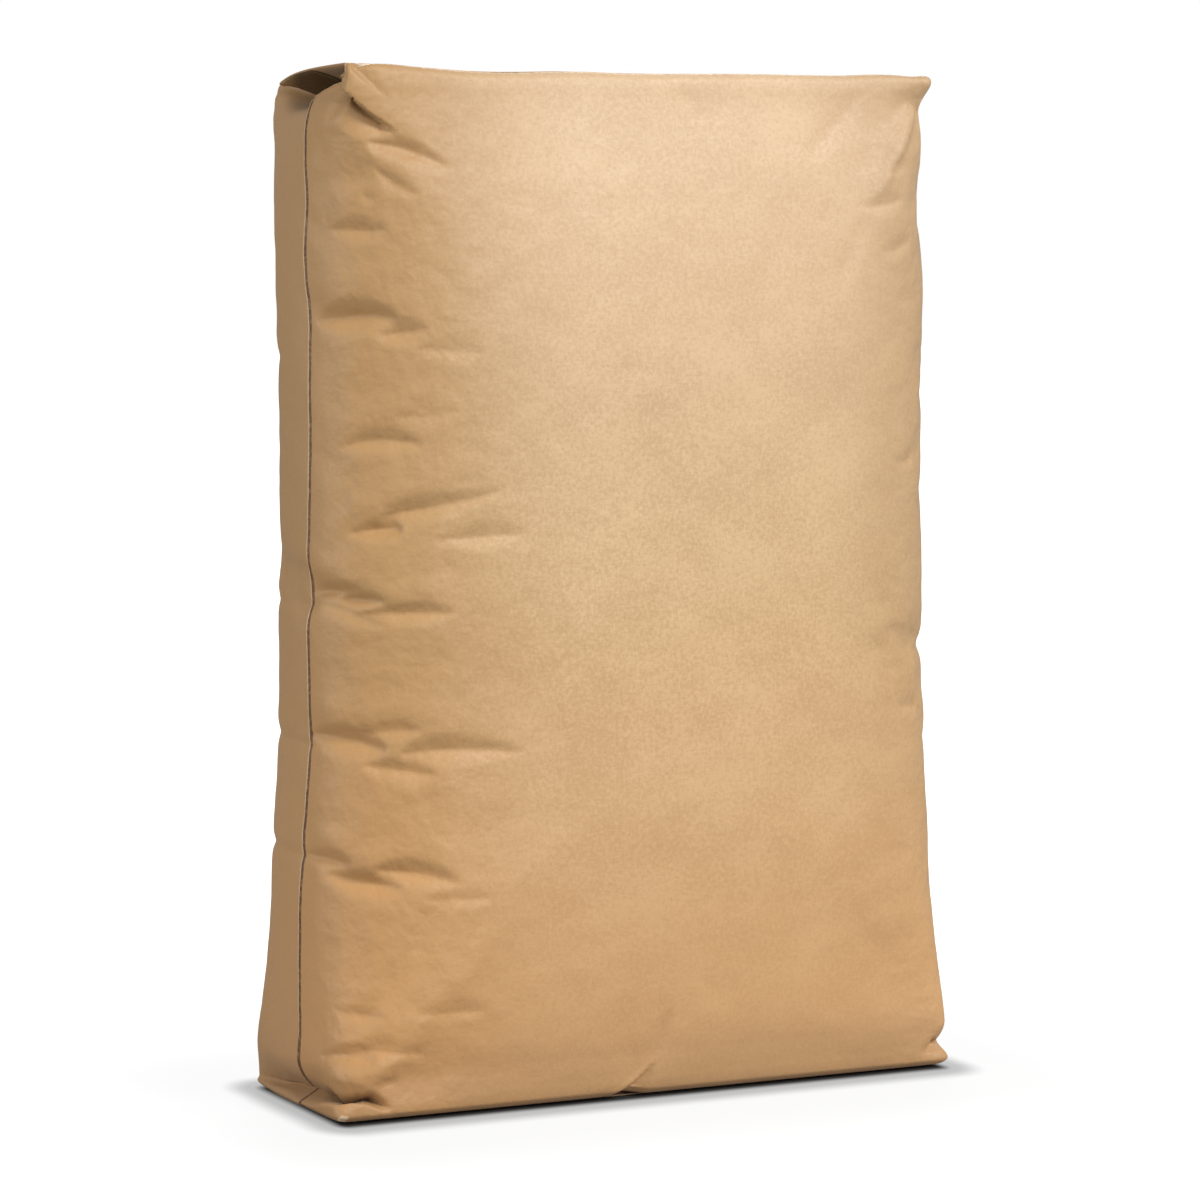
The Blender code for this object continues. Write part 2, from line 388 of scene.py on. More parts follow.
@dataclass(frozen=True)
class GridPlan:
    """How finely the paper is cut: the heights of its rows and the columns of each face.

    Attributes:
        heights: The rows' heights.
        valve: The valve side's columns, as shares of its length from the rear.
        front: The front's columns.
        plain: The plain side's columns.
        back: The back's columns.
        seam_share: Where the seam's column lies before it slides.
        seam_room: How far from the seam the columns slide with it.
    """

    heights: Array
    valve: Array
    front: Array
    plain: Array
    back: Array
    seam_share: float = 0.62
    seam_room: float = 0.032

    def faces(self) -> tuple[Array, ...]:
        """Return the columns of each face as shares, without the corner that starts the next."""
        return tuple(shares[:-1] for shares in (self.valve, self.front, self.plain, self.back))

    def face_of_column(self) -> Array:
        """Return the number of the face that each column belongs to."""
        return np.concatenate([np.full(len(shares), number) for number, shares in enumerate(self.faces())])

    def first_columns(self) -> Array:
        """Return the number of the first column of each face."""
        return np.cumsum([0] + [len(shares) for shares in self.faces()])[:4]

    def seam_column(self) -> int:
        """Return the number of the column that the seam follows."""
        return int(np.argmin(np.abs(self.valve - self.seam_share)))

    def valve_shares(self, seam: float) -> Array:
        """Slide the valve side's columns so that the seam's column lies at a given share.

        Args:
            seam: Where the seam crosses this row, as a share of the side from its rear corner.

        Returns:
            The row's columns as shares of the valve side, without its front corner.
        """
        at = self.valve[self.seam_column()]
        rear_room = min(self.seam_room, seam * 0.5)
        front_room = min(self.seam_room, (1 - seam) * 0.5)
        known = [0.0, at - self.seam_room, at, at + self.seam_room, 1.0]
        moved = [0.0, seam - rear_room, seam, seam + front_room, 1.0]
        return np.interp(self.valve[:-1], known, moved)


def fine_plan() -> GridPlan:
    """The grid of the finished skin."""
    heights = run_of_steps((0.021, 0.0008), (0.029, 0.0013), (0.52, 0.00142), (0.049, 0.0011))
    return GridPlan(
        heights=PAPER_FOOT + heights * (PAPER_TOP - PAPER_FOOT),
        valve=run_of_steps((0.0785, 0.0032), (0.0043, 0.0009), (0.0043, 0.0009), (0.0469, 0.0024)),
        front=run_of_steps(
            (0.012, 0.0015), (0.130, 0.0021), (0.030, 0.0060), (0.060, 0.0022),
            (0.060, 0.0060), (0.109, 0.0038), (0.012, 0.0020),
        ),
        plain=run_of_steps((0.012, 0.0024), (0.110, 0.0065), (0.012, 0.0024)),
        back=run_of_steps(
            (0.012, 0.0026), (0.060, 0.0055), (0.269, 0.0130), (0.060, 0.0055), (0.012, 0.0026)
        ),
    )


def coarse_plan() -> GridPlan:
    """The grid of the paper that the cloth simulation moves."""
    return GridPlan(
        heights=np.linspace(PAPER_FOOT, PAPER_TOP, 108),
        valve=run_of_steps((SIDE_GIRTH, 0.0057)),
        front=run_of_steps((FRONT_GIRTH, 0.0058)),
        plain=run_of_steps((SIDE_GIRTH, 0.0072)),
        back=run_of_steps((FRONT_GIRTH, 0.0080)),
    )


# Points of the long seam, read off the photograph from the foot to the tip of the fold, and how
# far forward the lip ends, as a share of the side
SEAM_PIXELS = (
    (297, 1048), (300, 930), (303, 836), (307, 769), (308, 680), (308, 560),
    (307, 420), (306, 330), (303, 260), (305, 190), (307, 136), (309, 119),
    (312, 102), (319, 92), (327, 85), (336, 79), (342, 76), (346, 71),
)
LIP_END_SHARE = 0.965


@dataclass
class Paper:
    """The smooth filled form of the sack as a grid of points.

    Attributes:
        plan: How finely the paper is cut.
        points: Places in metres, by row and column.
        girth: The place of each point round the sack.
        normals: The outward direction at each point, softened round the corners.
        pixels: Where each point shows in the photograph.
        corner_softness: How far round a corner the normals are averaged.
    """

    plan: GridPlan
    points: Array | None = None
    girth: Array | None = None
    normals: Array | None = None
    pixels: Array | None = None
    corner_softness: float = 0.006

    def shape(self, seam_shares: Array | None = None) -> "Paper":
        """Lay the grid over the smooth form.

        Args:
            seam_shares: Where the seam crosses each row, or None for a straight seam.

        Returns:
            The paper itself, with its points filled in.
        """
        heights = self.plan.heights
        stations = np.array(STATIONS)
        measures = [monotone_curve(stations[:, 0], stations[:, column], heights) for column in range(1, 9)]
        shares = list(self.plan.faces())
        rows, girths = [], []
        for row, height in enumerate(heights):
            if seam_shares is not None:
                shares[0] = self.plan.valve_shares(seam_shares[row])
            ring = self.ring([measure[row] for measure in measures], shares)
            near_top = np.clip((height - SETTLED_FROM) / (PAPER_TOP - SETTLED_FROM), 0.0, 1.0) ** 2
            level = height - near_top * top_sag(ring[:, 0], ring[:, 1])
            rows.append(np.column_stack([ring, level]))
            faces = zip(FACE_STARTS, shares, FACE_LENGTHS)
            girths.append(np.concatenate([start + share * length for start, share, length in faces]))
        self.points = np.array(rows)
        self.girth = np.array(girths)
        self.normals = self.soft_normals()
        self.pixels = VIEW.project(self.points)
        return self

    def levels(self) -> Array:
        """Return the height of each point before the top settles."""
        return np.broadcast_to(self.plan.heights[:, None], self.girth.shape)

    @staticmethod
    def ring(measures: Sequence[float], shares: Sequence[Array]) -> Array:
        """Points of one ring.

        Args:
            measures: The ring's station without its height.
            shares: The columns of each face, as shares of its length.

        Returns:
            The x and y of each column, anticlockwise seen from above from the rear valve corner.
        """
        half_width, half_depth, squareness, front_left, front, back, valve, plain = measures
        turn = np.linspace(0, 2 * math.pi, 4 * DENSE_QUARTER, endpoint=False)
        power = 2 / np.where((np.cos(turn) < 0) & (np.sin(turn) < 0), front_left, squareness)
        across = np.sign(np.cos(turn)) * np.abs(np.cos(turn)) ** power
        deep = np.sign(np.sin(turn)) * np.abs(np.sin(turn)) ** power
        side = np.where(across > 0, plain, valve) * np.sign(across) * np.abs(across) ** FACE_POWER
        broad = np.where(deep > 0, back, front) * np.sign(deep) * np.abs(deep) ** FACE_POWER
        x = half_width * across + side * (1 - np.abs(deep) ** ARCH_POWER)
        y = half_depth * deep + broad * (1 - np.abs(across) ** ARCH_POWER)
        outline = np.column_stack([x, y])
        corners = [DENSE_QUARTER * eighth // 2 for eighth in (3, 5, 7, 9, 11)]
        parts = []
        for share, first, last in zip(shares, corners, corners[1:]):
            arc = outline[np.arange(first, last + 1) % len(outline)]
            run = np.concatenate([[0.0], np.cumsum(np.linalg.norm(np.diff(arc, axis=0), axis=1))])
            parts.append(np.column_stack([np.interp(share * run[-1], run, arc[:, axis]) for axis in (0, 1)]))
        return np.vstack(parts)

    def soft_normals(self) -> Array:
        """Return the outward directions, averaged round the girth so that corners turn gently."""
        weights = girth_weights(self.girth[0], self.corner_softness)
        return unit(np.einsum("ij,rjk->rik", weights, outward(self.points)))

    def locate(self, pixel: Span) -> Array:
        """Find the place on the paper that shows at a pixel of the photograph.

        Args:
            pixel: The pixel in the photograph's frame.

        Returns:
            The place's girth and height.
        """
        toward = VIEW.eye() - self.points
        seen = np.einsum("rck,rck->rc", toward, self.normals) > 0
        away = np.linalg.norm(self.pixels - np.array(pixel), axis=2) + np.where(seen, 0.0, 1e6)
        row, column = np.unravel_index(np.argmin(away), away.shape)
        row = min(max(row, 1), len(self.points) - 2)
        after = (column + 1) % self.points.shape[1]
        before = column - 1
        per_column = (self.pixels[row, after] - self.pixels[row, before]) / 2
        per_row = (self.pixels[row + 1, column] - self.pixels[row - 1, column]) / 2
        missing = np.array(pixel) - self.pixels[row, column]
        steps = np.clip(np.linalg.solve(np.stack([per_column, per_row], axis=1), missing), -1.0, 1.0)
        girth, heights = self.girth[row], self.plan.heights
        width = (girth[after] - girth[before]) / 2
        rise = (heights[row + 1] - heights[row - 1]) / 2
        return np.array([girth[column] + steps[0] * width, heights[row] + steps[1] * rise])

    def seam_shares(self) -> Array:
        """Read the photographed seam.

        Returns:
            Where it crosses each row, as a share of the valve side.
        """
        places = np.array([self.locate(pixel) for pixel in SEAM_PIXELS])
        shares = np.minimum(1 + places[:, 0] / SIDE_GIRTH, LIP_END_SHARE)
        order = np.argsort(places[:, 1])
        levels = places[order, 1]
        return monotone_curve(levels, shares[order], np.clip(self.plan.heights, levels[0], levels[-1]))


# How a crease is cut: its width at its tips, how its flanks run out, and the soft swell above it
TIP_WIDTH = 0.12
UPPER_FLANK_POWER = 1.4
LOWER_FLANK_POWER = 1.8
SWELL_SHARE = 0.16
SWELL_AWAY = 1.7
SWELL_WIDTH = 0.9


@dataclass(frozen=True)
class Crease:
    """A buckled fold in the paper: a valley along a shallow arc, with a flank on each side.

    Attributes:
        start: Girth and height of its left end.
        end: Girth and height of its right end.
        arch: How far its middle stands above the straight line between its ends.
        depth: How deep it is pressed in, negative for a ridge.
        above: The width of its upper flank.
        below: The width of its lower flank.
        lead: How gradually it begins, from 0 for at once.
        trail: How gradually it ends.
        cusp: How blunt its line is.
    """

    start: Span
    end: Span
    arch: float = 0.0
    depth: float = 0.002
    above: float = 0.008
    below: float = 0.009
    lead: float = 0.9
    trail: float = 0.8
    cusp: float = 0.0006

    def depth_at(self, girth: Array, height: Array) -> Array:
        """Measure how deep this crease presses the paper in.

        Args:
            girth: The places' girths.
            height: Their heights.

        Returns:
            The depth at each place in metres.
        """
        start, end = np.array(self.start), np.array(self.end)
        length = float(np.linalg.norm(end - start))
        along = (end - start) / length
        middle = (start[0] + end[0]) / 2
        off = round_from(middle, girth) + middle - start[0]
        rise = height - start[1]
        share = (off * along[0] + rise * along[1]) / length
        held = np.clip(share, 0.0, 1.0)
        side = rise * along[0] - off * along[1] - self.arch * 4 * held * (1 - held)
        peak = self.lead / (self.lead + self.trail)
        highest = peak**self.lead * (1 - peak) ** self.trail
        strength = held**self.lead * (1 - held) ** self.trail / highest
        width = TIP_WIDTH + (1 - TIP_WIDTH) * strength
        blunt = np.sqrt(side**2 + self.cusp**2) - self.cusp
        over = np.clip(1 - blunt / (self.above * width), 0.0, 1.0) ** UPPER_FLANK_POWER
        under = np.clip(1 - blunt / (self.below * width), 0.0, 1.0) ** LOWER_FLANK_POWER
        beyond = (side - SWELL_AWAY * self.above) / (SWELL_WIDTH * self.above)
        swell = SWELL_SHARE * np.exp(-(beyond**2)) * held * (1 - held) * 4
        return self.depth * (strength * np.where(side > 0, over, under) - swell)


def crease_at(paper: Paper, pixels: Sequence[Span], depth: float, *flanks: float) -> Crease:
    """Place a crease that is read off the photograph on the paper.

    Args:
        paper: The smooth form.
        pixels: Its left end, its middle and its right end in the photograph.
        depth: How deep it is pressed in.
        flanks: The widths of its flanks, and how gradually it begins and ends.

    Returns:
        The crease in girth and height.
    """
    start, middle, end = (paper.locate(pixel) for pixel in pixels)
    along = unit(end - start)
    off = middle - (start + end) / 2
    arch = off[1] * along[0] - off[0] * along[1]
    return Crease(tuple(start), tuple(end), float(arch), depth, *flanks)


# The creases of the front's left margin, from the top down, then those of the right margin, the
# top edge and the foot
PHOTO_CREASES = (
    ((353, 64), (368, 79), (390, 101), 0.0036, 0.011, 0.004, 0.12, 1.0),
    ((366, 143), (402, 149), (448, 168), 0.0038, 0.0085, 0.012, 0.6, 0.6),
    ((366, 144), (376, 162), (396, 178), -0.0005, 0.006, 0.009, 0.2, 1.2),
    ((345, 172), (349, 181), (357, 187), 0.0007, 0.005, 0.005),
    ((357, 190), (364, 197), (376, 201), 0.0009, 0.005, 0.006),
    ((372, 166), (392, 182), (419, 196), 0.0016, 0.006, 0.008),
    ((325, 229), (356, 231), (390, 231), 0.0026, 0.009, 0.009),
    ((313, 321), (352, 317), (398, 318), 0.0046, 0.0115, 0.013, 0.6, 0.6),
    ((372, 337), (400, 334), (430, 329), 0.0030, 0.010, 0.010),
    ((418, 350), (442, 350), (484, 353), 0.0016, 0.009, 0.010),
    ((395, 418), (425, 417), (460, 411), 0.0012, 0.009, 0.010),
    ((336, 449), (376, 441), (424, 446), 0.0028, 0.009, 0.011),
    ((382, 517), (432, 508), (508, 489), 0.0034, 0.010, 0.011, 0.35, 1.0),
    ((347, 535), (373, 531), (403, 529), 0.0044, 0.0085, 0.009, 1.0, 0.45),
    ((434, 541), (475, 537), (527, 533), 0.0022, 0.010, 0.011),
    ((310, 592), (335, 592), (361, 589), 0.0028, 0.008, 0.008),
    ((338, 601), (362, 600), (388, 602), 0.0030, 0.006, 0.007, 0.5, 0.8),
    ((360, 614), (405, 614), (458, 613), 0.0028, 0.008, 0.008),
    ((317, 604), (347, 614), (387, 628), 0.0016, 0.006, 0.008),
    ((360, 733), (390, 732), (424, 731), 0.0018, 0.008, 0.007),
    ((308, 734), (345, 740), (387, 752), 0.0043, 0.0095, 0.012, 0.7, 0.5),
    ((402, 754), (455, 750), (527, 752), 0.0034, 0.011, 0.012, 0.5, 1.0),
    ((362, 766), (398, 771), (437, 775), 0.0034, 0.009, 0.010, 0.7, 0.6),
    ((305, 854), (328, 861), (349, 866), 0.0030, 0.007, 0.008, 0.8, 0.5),
    ((322, 874), (362, 883), (402, 890), 0.0044, 0.008, 0.011, 0.7, 0.5),
    ((373, 871), (414, 874), (460, 883), 0.0038, 0.010, 0.010, 0.6, 0.7),
    ((425, 899), (455, 899), (494, 896), 0.0014, 0.008, 0.009),
    ((335, 1012), (360, 1016), (386, 1018), 0.0016, 0.007, 0.008),
    ((414, 1013), (448, 1012), (486, 1011), 0.0014, 0.009, 0.009),
    ((355, 1050), (390, 1051), (430, 1057), 0.0028, 0.010, 0.009, 0.4, 0.9),
    ((316, 1057), (348, 1056), (376, 1062), 0.0034, 0.008, 0.010, 0.8, 0.5),
    ((382, 1079), (388, 1083), (396, 1088), 0.0008, 0.003, 0.003),
    ((858, 207), (880, 205), (901, 198), 0.0019, 0.009, 0.009),
    ((883, 174), (893, 169), (903, 160), 0.0018, 0.007, 0.008),
    ((876, 253), (894, 249), (913, 238), 0.0017, 0.009, 0.009),
    ((862, 212), (892, 162), (918, 108), -0.0036, 0.012, 0.007, 1.0, 0.25),
    ((806, 166), (834, 126), (866, 90), 0.0013, 0.013, 0.013),
    ((836, 300), (848, 256), (864, 216), 0.0011, 0.012, 0.012),
    ((890, 462), (906, 461), (916, 459), 0.0016, 0.009, 0.009, 0.8, 0.1),
    ((895, 706), (911, 706), (921, 704), 0.0016, 0.009, 0.009, 0.8, 0.1),
    ((662, 68), (682, 94), (707, 126), 0.0013, 0.010, 0.009),
    ((709, 74), (717, 96), (728, 120), 0.0010, 0.007, 0.007),
    ((647, 1074), (660, 1048), (674, 1010), 0.0016, 0.010, 0.011),
    ((610, 1098), (638, 1083), (660, 1062), 0.0046, 0.0022, 0.016, 0.35, 0.8),
    ((925, 1054), (932, 1048), (938, 1040), 0.0030, 0.004, 0.006, 0.7, 0.1),
)

# Creases that cross the valve side and fold round its rear corner, seen as notches in the outline
SIDE_CREASES = (
    Crease((BACK_LEFT_CORNER - 0.022, 0.3010), (-0.040, 0.3035), 0.001, 0.0011, 0.007, 0.007, 0.6, 0.6),
    Crease((BACK_LEFT_CORNER - 0.030, 0.2215), (-0.036, 0.2190), 0.002, 0.0010, 0.007, 0.007, 0.6, 0.6),
    Crease((BACK_LEFT_CORNER - 0.018, 0.1560), (-0.034, 0.1530), 0.001, 0.0013, 0.007, 0.007, 0.6, 0.6),
    Crease((BACK_LEFT_CORNER - 0.012, 0.4520), (-0.078, 0.4480), 0.001, 0.0009, 0.007, 0.008, 0.6, 0.6),
)


# The widths above and below a drawn crease, and how gradually it begins and ends
FLANK_RANGES = ((0.006, 0.010), (0.007, 0.011), (0.5, 1.1), (0.5, 1.1))


@dataclass(frozen=True)
class HiddenEdge:
    """An upright edge that the photograph doesn't show, creased like the one that it does.

    Attributes:
        corner: The edge's girth.
        count: How many creases it has.
        reach: How far a long crease runs from the edge.
        depth: How deep a strong crease is.
        low: The height of the lowest crease.
        high: The height of the highest one.
    """

    corner: float
    count: int
    reach: float
    depth: float
    low: float = 0.05
    high: float = 0.58

    def creases(self, chance: np.random.Generator) -> list[Crease]:
        """Draw this edge's creases.

        Args:
            chance: The seeded source of chance.

        Returns:
            The creases, spread along the edge.
        """
        found = []
        for step in range(self.count):
            level = self.low + (self.high - self.low) * (step + chance.uniform(0.15, 0.85)) / self.count
            length = self.reach * chance.uniform(0.35, 1.0)
            lean = chance.uniform(-0.16, 0.16) * length
            centre = self.corner + chance.uniform(-0.6, 0.6) * self.reach
            strength = chance.uniform(0.35, 1.0)
            arch = chance.uniform(-0.04, 0.08) * length
            flanks = [chance.uniform(low, high) for low, high in FLANK_RANGES]
            start, end = (centre - length / 2, level - lean), (centre + length / 2, level + lean)
            found.append(Crease(start, end, arch, self.depth * strength, *flanks))
        return found


HIDDEN_EDGES = (
    HiddenEdge(BACK_LEFT_CORNER - 0.052, 17, 0.060, 0.0036),
    HiddenEdge(BACK_RIGHT_CORNER + 0.034, 19, 0.065, 0.0040),
    HiddenEdge(BACK_RIGHT_CORNER - 0.045, 9, 0.050, 0.0024),
    HiddenEdge(FRONT_RIGHT_CORNER + 0.045, 9, 0.045, 0.0022),
)
CHANCE_SEED = 41


# The valley above the folded foot, once round the sack from the rear corner of the valve side: its
# girth, height and depth, and the widths of the flanks above and below it
FOOT_VALLEY = (
    (BACK_LEFT_CORNER - 0.004, 0.0085, 0.0, 0.023, 0.0048),
    (BACK_LEFT_CORNER + 0.006, 0.0088, 0.0026, 0.023, 0.0048),
    (-0.098, 0.0086, 0.0100, 0.023, 0.0048),
    (-0.071, 0.0090, 0.0150, 0.023, 0.0048),
    (-0.035, 0.0112, 0.0140, 0.023, 0.0045),
    (-0.012, 0.0145, 0.0165, 0.012, 0.0030),
    (0.002, 0.0160, 0.0180, 0.0085, 0.0022),
    (0.013, 0.0140, 0.0160, 0.0060, 0.0020),
    (0.022, 0.0105, 0.0090, 0.0045, 0.0018),
    (0.0300, 0.0075, 0.0, 0.004, 0.0018),
    (FRONT_RIGHT_CORNER - 0.016, 0.0110, 0.0, 0.008, 0.006),
    (FRONT_RIGHT_CORNER, 0.0182, 0.0062, 0.011, 0.012),
    (FRONT_RIGHT_CORNER + 0.025, 0.0130, 0.0095, 0.018, 0.006),
    (FRONT_RIGHT_CORNER + 0.070, 0.0095, 0.0125, 0.023, 0.0048),
    (BACK_RIGHT_CORNER, 0.0125, 0.0060, 0.023, 0.0048),
    (BACK_RIGHT_CORNER + 0.026, 0.0075, 0.0, 0.023, 0.0048),
)


@dataclass(frozen=True)
class FoldedFoot:
    """The tuck above the sack's folded foot, where the filled paper rolls in over the block."""

    power: float = 1.7

    def depth_at(self, girth: Array, height: Array) -> Array:
        """Measure how deep the tuck presses the paper in.

        Args:
            girth: The places' girths.
            height: Their heights.

        Returns:
            The depth at each place in metres.
        """
        stops = np.array(FOOT_VALLEY)
        level, depth, over, under = (
            np.interp(girth, stops[:, 0], stops[:, column], period=FULL_GIRTH) for column in range(1, 5)
        )
        above = np.clip(1 - (height - level) / over, 0.0, 1.0) ** self.power
        below = smooth_step((level - height) / under, 1.0, 0.0)
        return depth * np.where(height > level, above, below)


@dataclass(frozen=True)
class ValvePocket:
    """The filling valve: the top of the valve side is pushed in behind a folded lip.

    Attributes:
        valley: The height of the pocket's valley in its middle.
        deepest: How far the valley is pushed in at most.
        widening: How fast the pocket deepens from the rear corner.
        wall: The width of the steep wall behind the lip.
        flank: How far below the valley the paper starts to turn in.
        slope: How far from the rear corner the valley has come down.
        rim: How far below the top edge it starts there.
    """

    valley: float = 0.6040
    deepest: float = 0.031
    widening: float = 0.56
    wall: float = 0.0026
    flank: float = 0.017
    slope: float = 0.042
    rim: float = 0.0004

    def valley_height(self, from_rear: Array) -> Array:
        """Return the valley's height, which meets the top edge at the rear corner."""
        above = PAPER_TOP - self.rim - self.valley
        return self.valley + above * (1 - smooth_step(from_rear, 0.0, self.slope))

    def depth_at(self, from_rear: Array, behind_lip: Array, height: Array) -> Array:
        """Measure how far the pocket's paper is pushed in.

        Args:
            from_rear: Distance forward from the rear corner.
            behind_lip: Distance back from the lip, negative in front of it.
            height: Heights before the top sags.

        Returns:
            The depth in metres.
        """
        valley = self.valley_height(from_rear)
        reach = np.minimum(self.widening * from_rear, self.deepest)
        below = np.clip(1 - (valley - height) / self.flank, 0.0, 1.0) ** 3
        above = np.clip((PAPER_TOP - height) / (PAPER_TOP - valley), 0.0, 1.0)
        return reach * np.where(height < valley, below, above) * smooth_step(behind_lip, 0.0, self.wall)


# The fold that hangs over the front left top corner, from its tip down to its point: pixels along
# its edge, and how deep and how far the paper is tucked in under it at each
OVERHANG_EDGE = (
    ((318, 71), 0.0030, 0.022), ((341, 77), 0.0090, 0.026), ((341, 87), 0.0120, 0.027),
    ((346, 94), 0.0125, 0.026), ((358, 104), 0.0115, 0.023), ((370, 113), 0.0100, 0.019),
    ((384, 123), 0.0076, 0.014), ((395, 131), 0.0015, 0.007),
)


@dataclass(frozen=True)
class Overhang:
    """A fold whose edge hangs over the paper below it.

    Attributes:
        edge: Girth and height of the points along its edge.
        depths: How deep the paper is tucked in at each.
        reaches: How far from the edge the tuck runs at each.
        lip: How far from the edge the tuck reaches its depth.
        power: How the tuck runs out.
    """

    edge: Array
    depths: Array
    reaches: Array
    lip: float = 0.0010
    power: float = 1.4

    @staticmethod
    def on(paper: Paper) -> "Overhang":
        """Place the overhanging fold on the paper.

        Args:
            paper: The smooth form.

        Returns:
            The fold in girth and height.
        """
        pixels, depths, reaches = zip(*OVERHANG_EDGE)
        edge = np.array([paper.locate(pixel) for pixel in pixels])
        return Overhang(edge, np.array(depths), np.array(reaches))

    def depth_at(self, girth: Array, height: Array) -> Array:
        """Measure how deep the paper is tucked in under the fold.

        Args:
            girth: The places' girths.
            height: Their heights.

        Returns:
            The depth at each place in metres.
        """
        nearest = np.full(girth.shape, 1e3)
        depth, reach, under = (np.zeros(girth.shape) for _ in range(3))
        for index in range(len(self.edge) - 1):
            start, end = self.edge[index], self.edge[index + 1]
            along = end - start
            length = float(np.linalg.norm(along))
            off, rise = girth - start[0], height - start[1]
            held = np.clip((off * along[0] + rise * along[1]) / length**2, 0.0, 1.0)
            away = np.hypot(off - held * along[0], rise - held * along[1])
            side = (along[1] * off - along[0] * rise) / length
            closer = away < nearest
            nearest = np.where(closer, away, nearest)
            first, last = self.depths[index], self.depths[index + 1]
            depth = np.where(closer, first + held * (last - first), depth)
            first, last = self.reaches[index], self.reaches[index + 1]
            reach = np.where(closer, first + held * (last - first), reach)
            under = np.where(closer, np.sign(side), under)
        past_point = girth > self.edge[-1][0]
        fade = np.clip(1 - nearest / reach, 0.0, 1.0) ** self.power
        return np.where((under > 0) & ~past_point, depth * smooth_step(nearest, 0.0, self.lip) * fade, 0.0)


@dataclass(frozen=True)
class Ear:
    """A corner of a folded end that stands out, with the paper drawn in next to it.

    Attributes:
        corner: The corner's girth.
        height: The height of the drawn-in paper.
        depth: How far it is drawn in.
        spread: How far round the corner it is drawn in.
        tall: How far up and down it is drawn in.
        upward: The share of that above its height.
        downward: The share of that below it.
    """

    corner: float
    height: float
    depth: float
    spread: float = 0.016
    tall: float = 0.012
    upward: float = 1.1
    downward: float = 1.8

    def depth_at(self, girth: Array, height: Array) -> Array:
        """Measure how deep the paper is drawn in.

        Args:
            girth: The places' girths.
            height: Their heights.

        Returns:
            The depth at each place in metres.
        """
        off = round_from(self.corner, girth)
        rise = height - self.height
        tall = np.where(rise > 0, self.tall * self.upward, self.tall * self.downward)
        return self.depth * np.exp(-((off / self.spread) ** 2)) * np.exp(-((rise / tall) ** 2))


EARS = (
    Ear(FRONT_RIGHT_CORNER, 0.6000, 0.0068, 0.020, 0.0090),
    Ear(FRONT_RIGHT_CORNER, 0.6175, -0.0022, 0.007, 0.0030),
    Ear(BACK_RIGHT_CORNER, 0.598, 0.0030),
)


# Where the paper is longer than its filling: the edge's girth, its share of the excess, its spread
LOOSE_EDGES = (
    (0.0, 1.0, 0.075),
    (FRONT_RIGHT_CORNER, 0.35, 0.050),
    (BACK_LEFT_CORNER - 0.02, 0.35, 0.055),
    (BACK_RIGHT_CORNER + 0.01, 0.8, 0.060),
)


